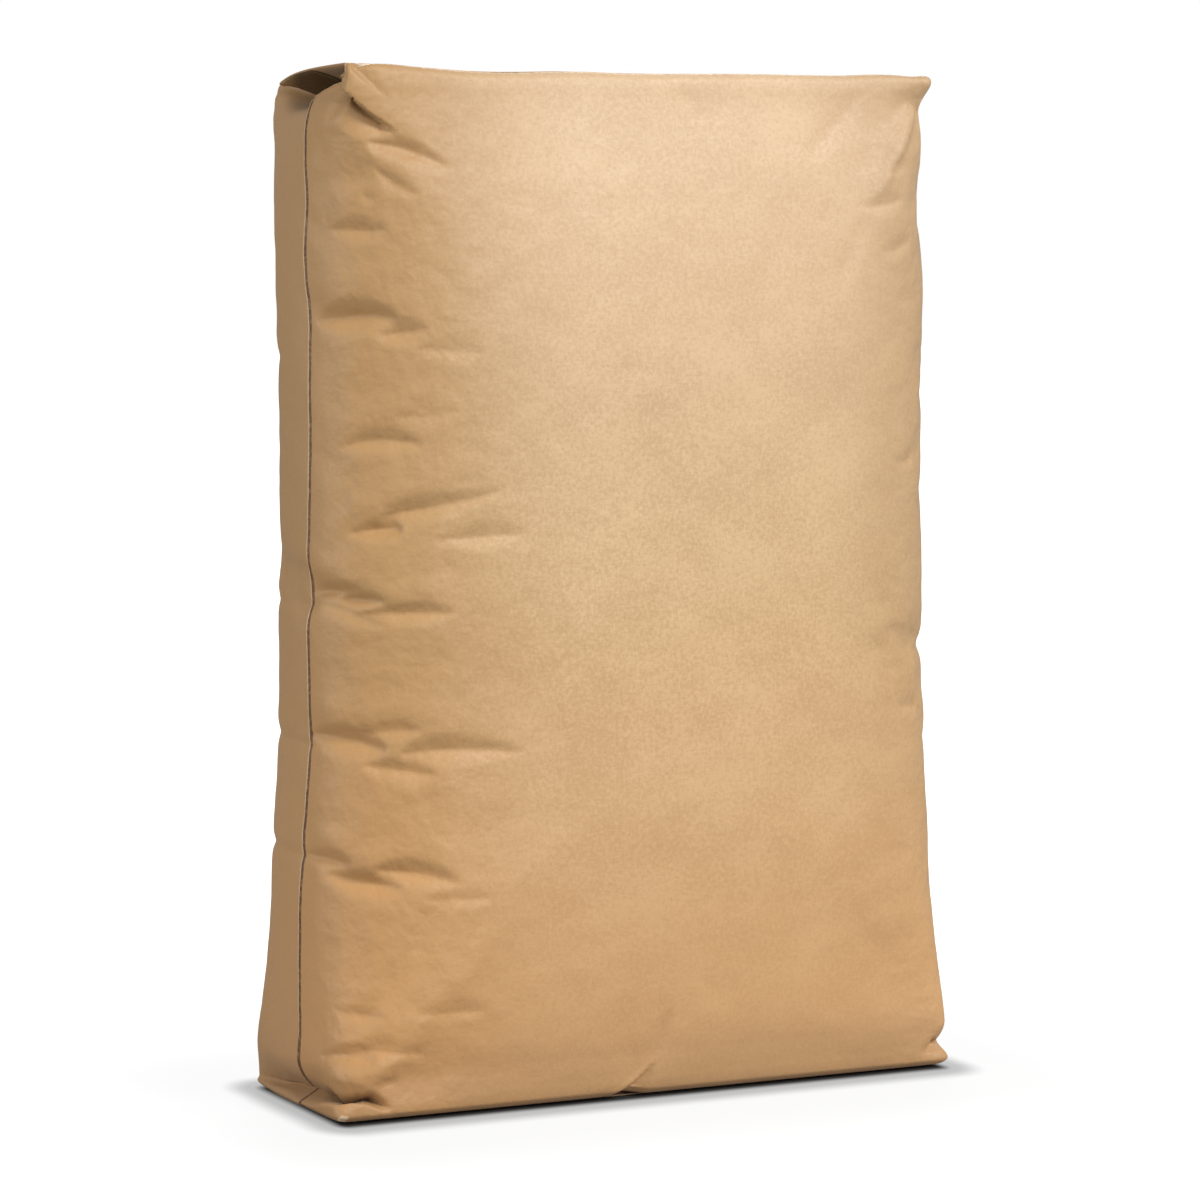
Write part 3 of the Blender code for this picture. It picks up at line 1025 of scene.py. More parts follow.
@dataclass(frozen=True)
class ClothRun:
    """The cloth simulation that buckles the filled paper.

    Attributes:
        excess: How much longer the paper is near the front left corner than the form it covers.
        seed_share: How much of each crease is pressed in before the simulation starts.
        pressure: The filling's outward pressure.
        tension: How hard the paper is to stretch.
        bending: How hard it is to bend.
        frames: How many frames it runs.
        most: How far a point may move at most.
        broad: The reach of the blur whose result counts as swelling.
        fine: The reach of the blur that takes out the grid's own noise.
        free: The heights between which the paper is free to move.
    """

    excess: float = 0.040
    seed_share: float = 0.4
    pressure: float = 8.0
    tension: float = 40.0
    bending: float = 1.5
    frames: int = 20
    most: float = 0.016
    broad: float = 0.034
    fine: float = 0.0036
    free: Span = (0.006, 0.612)

    def run(self, creases: Sequence[Crease]) -> tuple[Paper, Array]:
        """Simulate the paper.

        Args:
            creases: The creases that seed its folds.

        Returns:
            The coarse paper, and how far each of its points moved.
        """
        paper = Paper(coarse_plan()).shape()
        heights = paper.levels()
        seeds = sum(crease.depth_at(paper.girth, heights) for crease in creases) * self.seed_share
        start = paper.points - paper.normals * seeds[..., None]
        rows, columns = paper.girth.shape
        item = self.make_object(start)
        key = self.add_rest_shape(item, paper)
        pinned = item.vertex_groups.new(name="pasted_ends")
        for row, height in enumerate(paper.plan.heights):
            if not self.free[0] <= height <= self.free[1]:
                pinned.add(range(row * columns, (row + 1) * columns), 1.0, "REPLACE")
        self.add_cloth(item, key)
        for frame_number in range(1, self.frames + 1):
            bpy.context.scene.frame_set(frame_number)
        settled = evaluated_mesh(item)
        places = np.zeros(len(settled.vertices) * 3)
        settled.vertices.foreach_get("co", places)
        moved = places.reshape(-1, 3)[: rows * columns].reshape(rows, columns, 3) - paper.points
        far = np.linalg.norm(moved, axis=2, keepdims=True)
        moved *= np.minimum(1.0, self.most / np.maximum(far, 1e-9))
        moved = moved - self.blurred(moved, paper, self.broad)
        moved = self.blurred(moved, paper, self.fine)
        kept = np.linalg.norm(moved, axis=2).max()
        LOG.info("cloth: moved at most %.1f mm, detail %.1f mm", 1000 * far.max(), 1000 * kept)
        bpy.data.objects.remove(item, do_unlink=True)
        bpy.data.meshes.remove(settled)
        bpy.context.scene.frame_set(1)
        return paper, moved

    @staticmethod
    def blurred(values: Array, paper: Paper, reach: float) -> Array:
        """Blur a field over the paper.

        Args:
            values: Vectors by row and column.
            paper: The coarse paper.
            reach: The blur's standard deviation in metres.

        Returns:
            The blurred field.
        """
        girth, heights = paper.girth[0], paper.plan.heights
        round_weights = girth_weights(girth, reach)
        round_weights /= round_weights.sum(axis=1, keepdims=True)
        up_weights = np.exp(-0.5 * ((heights[:, None] - heights[None, :]) / reach) ** 2)
        up_weights /= up_weights.sum(axis=1, keepdims=True)
        return np.einsum("ab,bjk->ajk", up_weights, np.einsum("ij,rjk->rik", round_weights, values))

    @staticmethod
    def make_object(start: Array) -> Item:
        """Make the closed tube of paper that the simulation moves.

        Args:
            start: The paper's points by row and column.

        Returns:
            The object.
        """
        rows, columns = start.shape[:2]
        mesh = bpy.data.meshes.new("filled_tube")
        quads = wall_quads(rows, columns).tolist()
        top = list(range((rows - 1) * columns, rows * columns))
        mesh.from_pydata(start.reshape(-1, 3).tolist(), [], quads + [top, list(range(columns))[::-1]])
        cut_caps(mesh)
        return place_object("filled_tube", mesh)

    def add_rest_shape(self, item: Item, paper: Paper) -> bpy.types.ShapeKey:
        """Give the tube a rest shape that is longer than the form, so that the paper buckles.

        Args:
            item: The tube.
            paper: The smooth form.

        Returns:
            The rest shape.
        """
        extra = np.zeros(paper.girth.shape)
        for corner, strength, spread in LOOSE_EDGES:
            extra += strength * self.excess * np.exp(-((round_from(corner, paper.girth) / spread) ** 2))
        rest = paper.points.copy()
        middle = (PAPER_TOP + PAPER_FOOT) / 2
        rest[..., 2] = middle + (rest[..., 2] - middle) * (1 + extra)
        item.shape_key_add(name="Basis")
        key = item.shape_key_add(name="rest")
        key.data.foreach_set("co", rest.ravel())
        key.value = 0.0
        return key

    def add_cloth(self, item: Item, key: bpy.types.ShapeKey) -> None:
        """Add the Cloth modifier.

        Args:
            item: The tube.
            key: Its rest shape.
        """
        cloth = item.modifiers.new("paper", "CLOTH")
        settings = {
            "quality": 8, "mass": 0.002, "air_damping": 2.0,
            "tension_stiffness": self.tension, "compression_stiffness": self.tension,
            "shear_stiffness": self.tension * 0.7, "bending_stiffness": self.bending,
            "tension_damping": 3.0, "compression_damping": 3.0, "shear_damping": 3.0, "bending_damping": 1.0,
            "use_pressure": True, "uniform_pressure_force": self.pressure,
            "vertex_group_mass": "pasted_ends", "rest_shape_key": key,
        }
        for name, value in settings.items():
            setattr(cloth.settings, name, value)
        cloth.settings.effector_weights.gravity = 0.0
        cloth.collision_settings.use_collision = False
        cloth.collision_settings.use_self_collision = False
        for clock in (cloth.point_cache, bpy.context.scene):
            clock.frame_start = 1
            clock.frame_end = self.frames


def wall_quads(rows: int, columns: int) -> Array:
    """The quads of a closed wall of rows and columns, facing outwards.

    Args:
        rows: How many rows of points.
        columns: How many columns, the last next to the first.

    Returns:
        Four point numbers for each quad.
    """
    row, column = np.meshgrid(np.arange(rows - 1), np.arange(columns), indexing="ij")
    after = (column + 1) % columns
    low, high = row * columns, (row + 1) * columns
    return np.stack([low + column, low + after, high + after, high + column], axis=-1).reshape(-1, 4)


def read_between(values: Array, row: Array, column: Array) -> Array:
    """Read a grid of vectors between its points, on smooth curves through them.

    Args:
        values: The grid by row and column, with vectors along the last axis.
        row: Row numbers with fractions.
        column: Column numbers with fractions, going round the girth.

    Returns:
        The vectors there.
    """
    rows, columns = values.shape[:2]
    first_row = np.floor(row).astype(int)
    first_column = np.floor(column).astype(int)
    result = np.zeros((*row.shape, values.shape[2]))
    for row_step, row_weight in enumerate(cubic_weights(row - first_row)):
        at_row = np.clip(first_row + row_step - 1, 0, rows - 1)
        for column_step, column_weight in enumerate(cubic_weights(column - first_column)):
            at_column = (first_column + column_step - 1) % columns
            result += values[at_row, at_column] * (row_weight * column_weight)[..., None]
    return result


def cubic_weights(share: Array) -> tuple[Array, ...]:
    """Return the weights of four neighbours for a smooth curve between the middle two."""
    square, cube = share**2, share**3
    return (
        (-cube + 2 * square - share) / 2,
        (3 * cube - 5 * square + 2) / 2,
        (-3 * cube + 4 * square + share) / 2,
        (cube - square) / 2,
    )


def make_mesh(name: str, points: Array, faces: list[list[int]], finish: Material) -> Item:
    """Make a smooth-shaded object with its place in its mesh.

    Args:
        name: The piece's name.
        points: Its points.
        faces: Its faces, with their front outwards.
        finish: Its material.

    Returns:
        The object, at the origin.
    """
    mesh = bpy.data.meshes.new(name)
    mesh.from_pydata(points.tolist(), [], faces)
    mesh.materials.append(finish)
    mesh.polygons.foreach_set("use_smooth", np.ones(len(mesh.polygons), bool))
    mesh.update()
    return place_object(name, mesh)


# The heights between which each of these comes in above the foot, and goes out again below the top
WAVY = ((0.004, 0.06), (0.617, 0.56))
BUCKLED = ((0.004, 0.03), (0.612, 0.575))
FOLDED = ((0.016, 0.024), (0.613, 0.606))

# How far in, as shares, the top settles flat from its rim, and its short flaps step down
RIM_SHARES = (0.0, 0.07)
FLAP_SHARES = (0.0, 0.035)

# How far from the seam its upper ply stands up, from behind it to its cut edge
OVER_PLY = ((-0.03, -0.004), (0.0006, -0.0002))

# The depths between which each fold gets its painted shade, and how dark that shade gets
POCKET_SHADE = (0.0002, 0.0060)
FOOT_SHADE = (0.001, 0.009)
FOOT_DARKNESS = 0.22
OVERHANG_SHADE = (0.003, 0.0118)
OVERHANG_DARKNESS = 0.46

# The painted shade in the foot's tuck is darker by the front left corner: its girth there, how far
# that shade reaches behind and ahead of it, the heights between which it ends, and what it adds
TUCK_GIRTH = 0.006
TUCK_REACHES = (0.045, 0.022)
TUCK_HEIGHTS = (0.023, 0.016)
TUCK_DARKNESS = 0.70

# Spots of the front where the modelled folds are left without simulated buckles: girth and height,
# and how far round and how far up each reaches
CALM_SPOTS = ((0.016, 0.600, 0.040, 0.030), (0.370, 0.045, 0.060, 0.055))

# How far ahead of each upright edge the paper is crumpled, and how far behind it
CRUSHED_AHEAD = (
    (0.0, 0.100), (FRONT_RIGHT_CORNER, 0.035), (BACK_RIGHT_CORNER, 0.080), (BACK_LEFT_CORNER, 0.030)
)
CRUSHED_BEHIND = 0.045


@dataclass
class SackSkin:
    """The paper tube with its two folded ends, as one closed skin.

    Attributes:
        seam_step: How far the overlapping ply stands over the ply below it.
        ripple: The height of the fine waves in the paper.
        swell: The height of its broad waves.
        ripples: How many fine waves lie in a metre.
        swells: How many broad ones.
        sharpest: The bend, in radians per metre, at which a fold is marked in full.
        flap_step: How far the long flaps of an end lie over the short ones.
        end_shares: Where the rings of the folded ends lie, from the rim to the middle.
        paper: The smooth form under it.
        points: Its own points, by row and column.
        seam: Each point's distance from the seam.
        painted_shade: The painted shade at each point, deep in folds, under the overhang and in the valve
            pocket, from 0 to 1.
    """

    seam_step: float = 0.0004
    ripple: float = 0.0004
    swell: float = 0.0014
    ripples: float = 55.0
    swells: float = 8.0
    sharpest: float = 260.0
    flap_step: float = 0.0005
    end_shares: tuple[float, ...] = (0.012, 0.035, 0.07, 0.13, 0.24, 0.42, 0.68, 0.94)
    paper: Paper = field(default_factory=lambda: Paper(fine_plan()))
    points: Array | None = None
    seam: Array | None = None
    painted_shade: Array | None = None

    def press(self) -> None:
        """Shape the paper: the smooth form, the simulated buckles, the folds and the creases, and the
        painted shade deep in its folds.
        """
        self.paper.shape()
        seam_shares = self.paper.seam_shares()
        self.paper.shape(seam_shares)
        paper = self.paper
        heights = paper.levels()
        chance = np.random.default_rng(CHANCE_SEED)
        creases = [crease_at(paper, read[:3], *read[3:]) for read in PHOTO_CREASES] + list(SIDE_CREASES)
        for edge in HIDDEN_EDGES:
            creases += edge.creases(chance)
        depth = sum(crease.depth_at(paper.girth, heights) for crease in creases)
        foot_tuck = FoldedFoot().depth_at(paper.girth, heights)
        tucked = Overhang.on(paper).depth_at(paper.girth, heights)
        depth = depth + foot_tuck + tucked + sum(ear.depth_at(paper.girth, heights) for ear in EARS)
        lift = self.waves(paper.points, heights) - depth
        self.seam = self.seam_distance(paper)
        lift = lift + self.seam_step * between(self.seam, *OVER_PLY)
        self.points = paper.points + paper.normals * lift[..., None]
        self.points = self.points + self.buckles(creases, heights)
        self.push_valve(heights, seam_shares)
        # Painted shade in the foot's tuck, darker by the front left corner, and under the overhanging fold
        ahead = paper.girth - TUCK_GIRTH
        by_corner = np.exp(-((ahead / np.where(ahead < 0, *TUCK_REACHES)) ** 2))
        by_corner = by_corner * smooth_step(heights, *TUCK_HEIGHTS)
        foot_shade = smooth_step(foot_tuck, *FOOT_SHADE) * (FOOT_DARKNESS + TUCK_DARKNESS * by_corner)
        overhang_shade = smooth_step(tucked, *OVERHANG_SHADE) * OVERHANG_DARKNESS
        self.painted_shade = np.maximum(np.maximum(self.painted_shade, foot_shade), overhang_shade)

    def waves(self, points: Array, heights: Array) -> Array:
        """Make the paper's broad swells and its fine ripples, quiet at the folded ends.

        Args:
            points: The smooth form.
            heights: The height of each point.

        Returns:
            How far each point is lifted.
        """
        flat = points.reshape(-1, 3)
        broad = np.array([noise.noise(Vector(place) * self.swells) for place in flat])
        fine = np.array([noise.noise(Vector(place) * self.ripples + Vector((7, 3, 1))) for place in flat])
        swell = (broad * self.swell + fine * self.ripple).reshape(heights.shape)
        return swell * between(heights, *WAVY)

    @staticmethod
    def seam_distance(paper: Paper) -> Array:
        """Measure along each row from the seam, forward positive, square to the seam's run.

        Args:
            paper: The shaped paper.

        Returns:
            The distance at each point in metres.
        """
        seam = paper.plan.seam_column()
        steps = np.linalg.norm(np.roll(paper.points, -1, axis=1) - paper.points, axis=2)
        run = np.cumsum(steps, axis=1) - steps
        off = run - run[:, seam : seam + 1]
        line = np.gradient(paper.points[:, seam], axis=0)
        slant = np.abs(line[:, 2]) / np.maximum(np.linalg.norm(line, axis=1), 1e-9)
        return np.clip(off * slant[:, None], -0.05, 0.05)

    def buckles(self, creases: Sequence[Crease], heights: Array) -> Array:
        """Run the cloth simulation and read its movement onto this skin's own grid.

        Args:
            creases: The creases that seed its folds.
            heights: The height of each point.

        Returns:
            How far each point moves.
        """
        coarse, moved = ClothRun().run(creases)
        plan, own = coarse.plan, self.paper.plan
        row = np.interp(heights, plan.heights, np.arange(len(plan.heights)))
        column = np.zeros(heights.shape)
        for number, shares in enumerate((plan.valve, plan.front, plan.plain, plan.back)):
            mine = own.face_of_column() == number
            share = (self.paper.girth[:, mine] - FACE_STARTS[number]) / FACE_LENGTHS[number]
            within = np.interp(share, shares, np.arange(len(shares)))
            column[:, mine] = plan.first_columns()[number] + within
        share = between(heights, *BUCKLED)
        for girth, height, spread, tall in CALM_SPOTS:
            near = ((self.paper.girth - girth) / spread) ** 2 + ((heights - height) / tall) ** 2
            share = share * (1 - np.exp(-near))
        return read_between(moved, row, column) * share[..., None]

    def push_valve(self, heights: Array, seam_shares: Array) -> None:
        """Push the top of the valve side in behind its lip, and paint shade into the pocket, darkest by the
        lip.

        Args:
            heights: The height of each point.
            seam_shares: Where the seam crosses each row.
        """
        face = self.paper.plan.face_of_column() == Face.VALVE.value
        share = 1 + self.paper.girth[:, face] / SIDE_GIRTH
        behind_lip = (seam_shares[:, None] - share) * TOP_DEPTH
        pushed = ValvePocket().depth_at(share * TOP_DEPTH, behind_lip, heights[:, face])
        self.points[:, face, 0] += pushed
        self.painted_shade = np.zeros(heights.shape)
        # Painted shade in the pocket, darker near the lip
        by_lip = np.exp(-((np.clip(behind_lip, 0.0, 1.0) / 0.034) ** 2))
        self.painted_shade[:, face] = smooth_step(pushed, *POCKET_SHADE) * (0.25 + 0.75 * by_lip)

    def fold_mask(self) -> Array:
        """Measure how sharply the paper is folded.

        Returns:
            The mask at each point, above 0 for ridges and below it for valleys.
        """
        points = self.points
        after, before = np.roll(points, -1, axis=1) - points, points - np.roll(points, 1, axis=1)
        round_bend = self.bend(after, before)
        above = np.concatenate([points[1:], points[-1:]]) - points
        below = points - np.concatenate([points[:1], points[:-1]])
        above[-1], below[0] = below[-1], above[0]
        up_bend = self.bend(above, below)
        mask = -np.einsum("rck,rck->rc", round_bend + up_bend, outward(points))
        mask = (np.roll(mask, 1, axis=1) + 2 * mask + np.roll(mask, -1, axis=1)) / 4
        mask[1:-1] = (mask[:-2] + 2 * mask[1:-1] + mask[2:]) / 4
        return np.clip(mask / self.sharpest, -1.0, 1.0) * between(self.paper.levels(), *FOLDED)

    def crush(self) -> Array:
        """Measure how crumpled the paper is, which is most along its upright edges.

        Returns:
            The mask at each point, from 0 to 1.
        """
        total = np.zeros(self.paper.girth.shape)
        for corner, ahead in CRUSHED_AHEAD:
            off = round_from(corner, self.paper.girth)
            reach = np.where(off > 0, ahead, CRUSHED_BEHIND)
            total = np.maximum(total, np.exp(-((off / reach) ** 2)))
        return total

    @staticmethod
    def bend(after: Array, before: Array) -> Array:
        """Return how a line bends at a point, from the steps to its next and from its last point."""
        length = sum(np.linalg.norm(step, axis=2, keepdims=True) for step in (after, before))
        return 2 * (unit(after) - unit(before)) / np.maximum(length, 1e-6)

    def closed_ends(self) -> tuple[Array, list[list[int]]]:
        """Close the wall with its two folded ends.

        Returns:
            All the skin's points, and its faces.
        """
        rows, columns = self.points.shape[:2]
        faces = wall_quads(rows, columns).tolist()
        layers = [self.points.reshape(-1, 3)]
        count = rows * columns
        is_side = np.isin(self.paper.plan.face_of_column(), (Face.VALVE.value, Face.PLAIN.value))
        for top in (True, False):
            rim = self.points[-1] if top else self.points[0]
            width, deep = (TOP_WIDTH, TOP_DEPTH) if top else (FOOT_WIDTH, FOOT_DEPTH)
            half_spine = (width - deep) / 2
            last = (rows - 1) * columns if top else 0
            for share in self.end_shares:
                spine = np.column_stack([np.clip(rim[:, 0], -half_spine, half_spine), np.zeros(columns)])
                flat = rim[:, :2] * (1 - share) + spine * share
                level = rim[:, 2]
                if top:
                    settled = PAPER_TOP - top_sag(flat[:, 0], flat[:, 1])
                    near_rim = 1 - smooth_step(share, *RIM_SHARES)
                    flap = np.where(is_side, -self.flap_step, 0.0) * smooth_step(share, *FLAP_SHARES)
                    level = level * near_rim + settled * (1 - near_rim) + flap
                layers.append(np.column_stack([flat, level]))
                faces += self.end_quads(last, count, columns, top)
                last = count
                count += columns
            cap = list(range(last, last + columns))
            faces.append(cap if top else cap[::-1])
        return np.vstack(layers), faces

    @staticmethod
    def end_quads(outer: int, inner: int, columns: int, top: bool) -> list[list[int]]:
        """Join two rings of an end with quads.

        Args:
            outer: The number of the outer ring's first point.
            inner: That of the inner ring's.
            columns: How many points a ring has.
            top: Whether they face up, and else down.

        Returns:
            The quads.
        """
        column = np.arange(columns)
        after = (column + 1) % columns
        ring = np.stack([outer + column, outer + after, inner + after, inner + column], axis=1)
        return (ring if top else ring[:, ::-1]).tolist()

    def build(self, finish: Material) -> Item:
        """Make the skin.

        Args:
            finish: Its material.

        Returns:
            The finished piece.
        """
        self.press()
        points, faces = self.closed_ends()
        item = make_mesh("sack_skin", points, faces, finish)
        cut_caps(item.data)
        # Stored for the material: the seam's distance, the fold mask, the painted shade and the crush
        masks = (
            ("seam", self.seam, 0.05), ("fold", self.fold_mask(), 0.0),
            ("painted_shade", self.painted_shade, 0.0), ("crush", self.crush(), 0.5),
        )
        for name, wall, on_ends in masks:
            values = np.concatenate([wall.ravel(), np.full(len(points) - wall.size, on_ends)])
            attribute = item.data.attributes.new(name, "FLOAT", "POINT")
            attribute.data.foreach_set("value", values.astype(np.float32))
        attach(item, "root")
        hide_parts("sack")
        LOG.info("sack_skin: %d points, %d faces", len(points), len(item.data.polygons))
        return item


@dataclass(frozen=True)
class Wiring:
    """A short way to add and join the nodes of one tree, a material's or a group's."""

    tree: bpy.types.NodeTree

    def add(self, kind: str, settings: dict | None = None, **inputs: object) -> bpy.types.Node:
        """Add a node.

        Args:
            kind: The node's type.
            settings: Its properties.
            inputs: Its inputs by name, with _ for a space, as a number, a colour or another node's socket.

        Returns:
            The node.
        """
        node = self.tree.nodes.new(kind)
        for name, value in (settings or {}).items():
            setattr(node, name, value)
        for name, value in inputs.items():
            key = int(name[1:]) if name[1:].isdigit() else name.replace("_", " ")
            self.feed(node.inputs[key], value)
        return node

    def feed(self, socket: Socket, value: object) -> None:
        """Join a socket to another one, or set its value."""
        if isinstance(value, Socket):
            self.tree.links.new(value, socket)
        else:
            socket.default_value = value

    def math(self, operation: str, first: object, second: object = 0.0) -> Socket:
        """Add a Math node and return its result."""
        return self.add("ShaderNodeMath", {"operation": operation}, i0=first, i1=second).outputs[0]

    def times(self, first: object, second: object) -> Socket:
        """Multiply two values and return the result."""
        return self.math("MULTIPLY", first, second)

    def ramp(
        self, value: object, low: object, high: object, to_low: float = 0.0, to_high: float = 1.0
    ) -> Socket:
        """Add a smooth Map Range node and return its result."""
        node = self.add(
            "ShaderNodeMapRange", {"interpolation_type": "SMOOTHSTEP"},
            i0=value, i1=low, i2=high, i3=to_low, i4=to_high,
        )
        return node.outputs[0]

    def band(self, value: object, rise: Span, fall: Span) -> Socket:
        """Return 1 between two ramps, and 0 before the first and past the second."""
        return self.times(self.ramp(value, *rise), self.ramp(value, *fall))

    def tint(self, colour: object, share: object, tone: Tone) -> Socket:
        """Lay a tone over a colour and return the result."""
        node = self.add("ShaderNodeMix", {"data_type": "RGBA"}, i0=share, i6=colour, i7=(*tone, 1.0))
        return node.outputs[2]

    def place(self) -> Socket:
        """Return the place on the object."""
        return self.add("ShaderNodeTexCoord").outputs["Object"]

    def parts(self) -> bpy.types.bpy_prop_collection:
        """Return the place's x, y and z."""
        return self.add("ShaderNodeSeparateXYZ", Vector=self.place()).outputs

    def stored(self, name: str) -> Socket:
        """Return a value that is stored on the mesh."""
        return self.add("ShaderNodeAttribute", {"attribute_name": name}).outputs["Fac"]

    def noise(self, vector: object, scale: object, detail: float, roughness: float) -> Socket:
        """Add a Noise Texture and return its value."""
        sizes = {"Vector": vector, "Scale": scale, "Detail": detail, "Roughness": roughness}
        return self.add("ShaderNodeTexNoise", **sizes).outputs[0]


def new_group(
    name: str, inputs: dict[str, float], outputs: Sequence[str]
) -> tuple[Wiring, bpy.types.bpy_prop_collection]:
    """Start a shader node group.

    Args:
        name: The group's name.
        inputs: Its number inputs with their first values.
        outputs: Its number outputs.

    Returns:
        The group's wiring, and the sockets of its inputs.
    """
    group = bpy.data.node_groups.new(name, "ShaderNodeTree")
    for label, value in inputs.items():
        socket = group.interface.new_socket(name=label, in_out="INPUT", socket_type="NodeSocketFloat")
        socket.default_value = value
    for label in outputs:
        group.interface.new_socket(name=label, in_out="OUTPUT", socket_type="NodeSocketFloat")
    wiring = Wiring(group)
    return wiring, wiring.add("NodeGroupInput").outputs


def paper_grain_group() -> bpy.types.NodeTree:
    """Build the group for the look of unbleached paper: clouds, mottling, fibres and flecks.

    Returns:
        The node group. Cloud, Mottle, Fibre and Fleck run from 0 to 1, and Height feeds a bump.
    """
    inputs = {"Cloud Size": 0.06, "Mottle Size": 0.0024, "Fibre Size": 0.0011, "Flecks per Metre": 190.0}
    wiring, entry = new_group("paper_grain", inputs, ("Cloud", "Mottle", "Fibre", "Fleck", "Height"))
    place = wiring.place()

    def marks(label: str, where: object, detail: float, roughness: float) -> Socket:
        """Return a noise whose marks have the size of that input."""
        return wiring.noise(where, wiring.math("DIVIDE", 1.0, entry[label]), detail, roughness)

    cloud = marks("Cloud Size", place, 3.0, 0.55)
    mottle = marks("Mottle Size", place, 3.0, 0.6)
    fibres = []
    for stretch in ((1.0, 1.0, 0.30), (0.30, 0.30, 1.0)):
        along = wiring.add("ShaderNodeMapping", Vector=place, Scale=stretch).outputs[0]
        fibres.append(marks("Fibre Size", along, 2.0, 0.6))
    fibre = wiring.times(wiring.math("ADD", *fibres), 0.5)
    cell = wiring.add("ShaderNodeTexVoronoi", Vector=place, Scale=entry["Flecks per Metre"]).outputs
    size = wiring.add("ShaderNodeSeparateColor", Color=cell["Color"]).outputs[0]
    fleck = wiring.times(wiring.ramp(cell["Distance"], 0.16, 0.05), wiring.ramp(size, 0.86, 0.97))
    height = wiring.math("ADD", wiring.times(mottle, 0.55), wiring.times(fibre, 0.45))
    made = {"Cloud": cloud, "Mottle": mottle, "Fibre": fibre, "Fleck": fleck, "Height": height}
    wiring.add("NodeGroupOutput", **made)
    return wiring.tree


def crumple_group() -> bpy.types.NodeTree:
    """Build the group for the small facets of handled paper.

    Returns:
        The node group. Height feeds a bump, and is weighted by the crush attribute on the mesh.
    """
    wiring, entry = new_group("crumple", {"Facet Size": 0.015, "Rest": 0.20}, ("Height",))
    scale = wiring.math("DIVIDE", 1.0, entry["Facet Size"])
    sizes = {"Vector": wiring.place(), "Scale": scale, "Detail": 2.5, "Roughness": 0.5, "Distortion": 0.1}
    facets = wiring.add("ShaderNodeTexNoise", **sizes).outputs[0]
    weight = wiring.math("MAXIMUM", wiring.stored("crush"), entry["Rest"])
    wiring.add("NodeGroupOutput", Height=wiring.times(facets, weight))
    return wiring.tree


def crease_wear_shade_group() -> bpy.types.NodeTree:
    """Build the group for rubbed ridges of folds and painted shade in their valleys, from the fold mask
    stored on the mesh.

    Returns:
        The node group. Ridge and Valley run from 0 to 1.
    """
    wiring, entry = new_group("crease_wear_and_shade", {"Start": 0.10, "Full": 0.75}, ("Ridge", "Valley"))
    mask = wiring.stored("fold")
    broken = wiring.ramp(wiring.noise(wiring.place(), 160.0, 3.0, 0.6), 0.30, 0.62, 0.35, 1.0)
    made = {}
    for label, sign in (("Ridge", 1.0), ("Valley", -1.0)):
        worn = wiring.ramp(wiring.times(mask, sign), entry["Start"], entry["Full"])
        made[label] = wiring.times(worn, broken)
    wiring.add("NodeGroupOutput", **made)
    return wiring.tree


class PaintedLight(NamedTuple):
    """A tone that paints light and shade over the sack's paper, coming in along one of its axes.

    Attributes:
        axis: 0 for across, 2 for up.
        start: Where it begins, in metres.
        full: Where it has its full share.
        share: That share.
        tone: The tone.
        at_foot: How much of the share is left at the foot.
    """

    axis: int
    start: float
    full: float
    share: float
    tone: Tone
    at_foot: float = 1.0


# Painted sheen on the upper part, painted shade on the valve side and plain side, painted shade darkening
# the lower part
SACK_PAINTED_LIGHT = (
    PaintedLight(2, 0.25, 0.60, 0.38, (0.680, 0.505, 0.350)),
    PaintedLight(0, -0.04, -0.190, 0.90, (0.445, 0.247, 0.089)),
    PaintedLight(0, 0.09, 0.205, 0.66, (0.450, 0.280, 0.135), 0.3),
    PaintedLight(2, 0.36, 0.0, 0.62, (0.580, 0.298, 0.108)),
)

# The sleeve's painted shade: how much it leans with depth, where it comes in across, and how dark it gets
POCKET_LEAN = 0.49
POCKET_SPAN = (-0.226, -0.203)
POCKET_DARKNESS = 0.90

# What each part of the grain gives to the paper's tone, and the sums that are its dark and its light
GRAIN_SHARES = (("Cloud", 0.26), ("Mottle", 0.36), ("Fibre", 0.38))
TONE_SPAN = (0.405, 0.595)

# Where the seam's paste and its painted shadow end under the lip, and where its lines merge above the foot
PASTE_END = (0.601, 0.597)
SEAM_MERGES = (0.065, 0.035)

# Where each of the seam's lines comes in and goes out, as distances from the seam: the pale cut edge with
# its painted highlight, the gap with its paste and painted shadow, and the wider line that is left of both
# near the foot
EDGE_BAND = ((-0.0011, -0.0007), (0.0001, -0.0003))
GAP_BAND = ((-0.0001, 0.0002), (0.0022, 0.0014))
LOW_GAP_BAND = ((-0.0012, -0.0006), (0.0018, 0.0012))


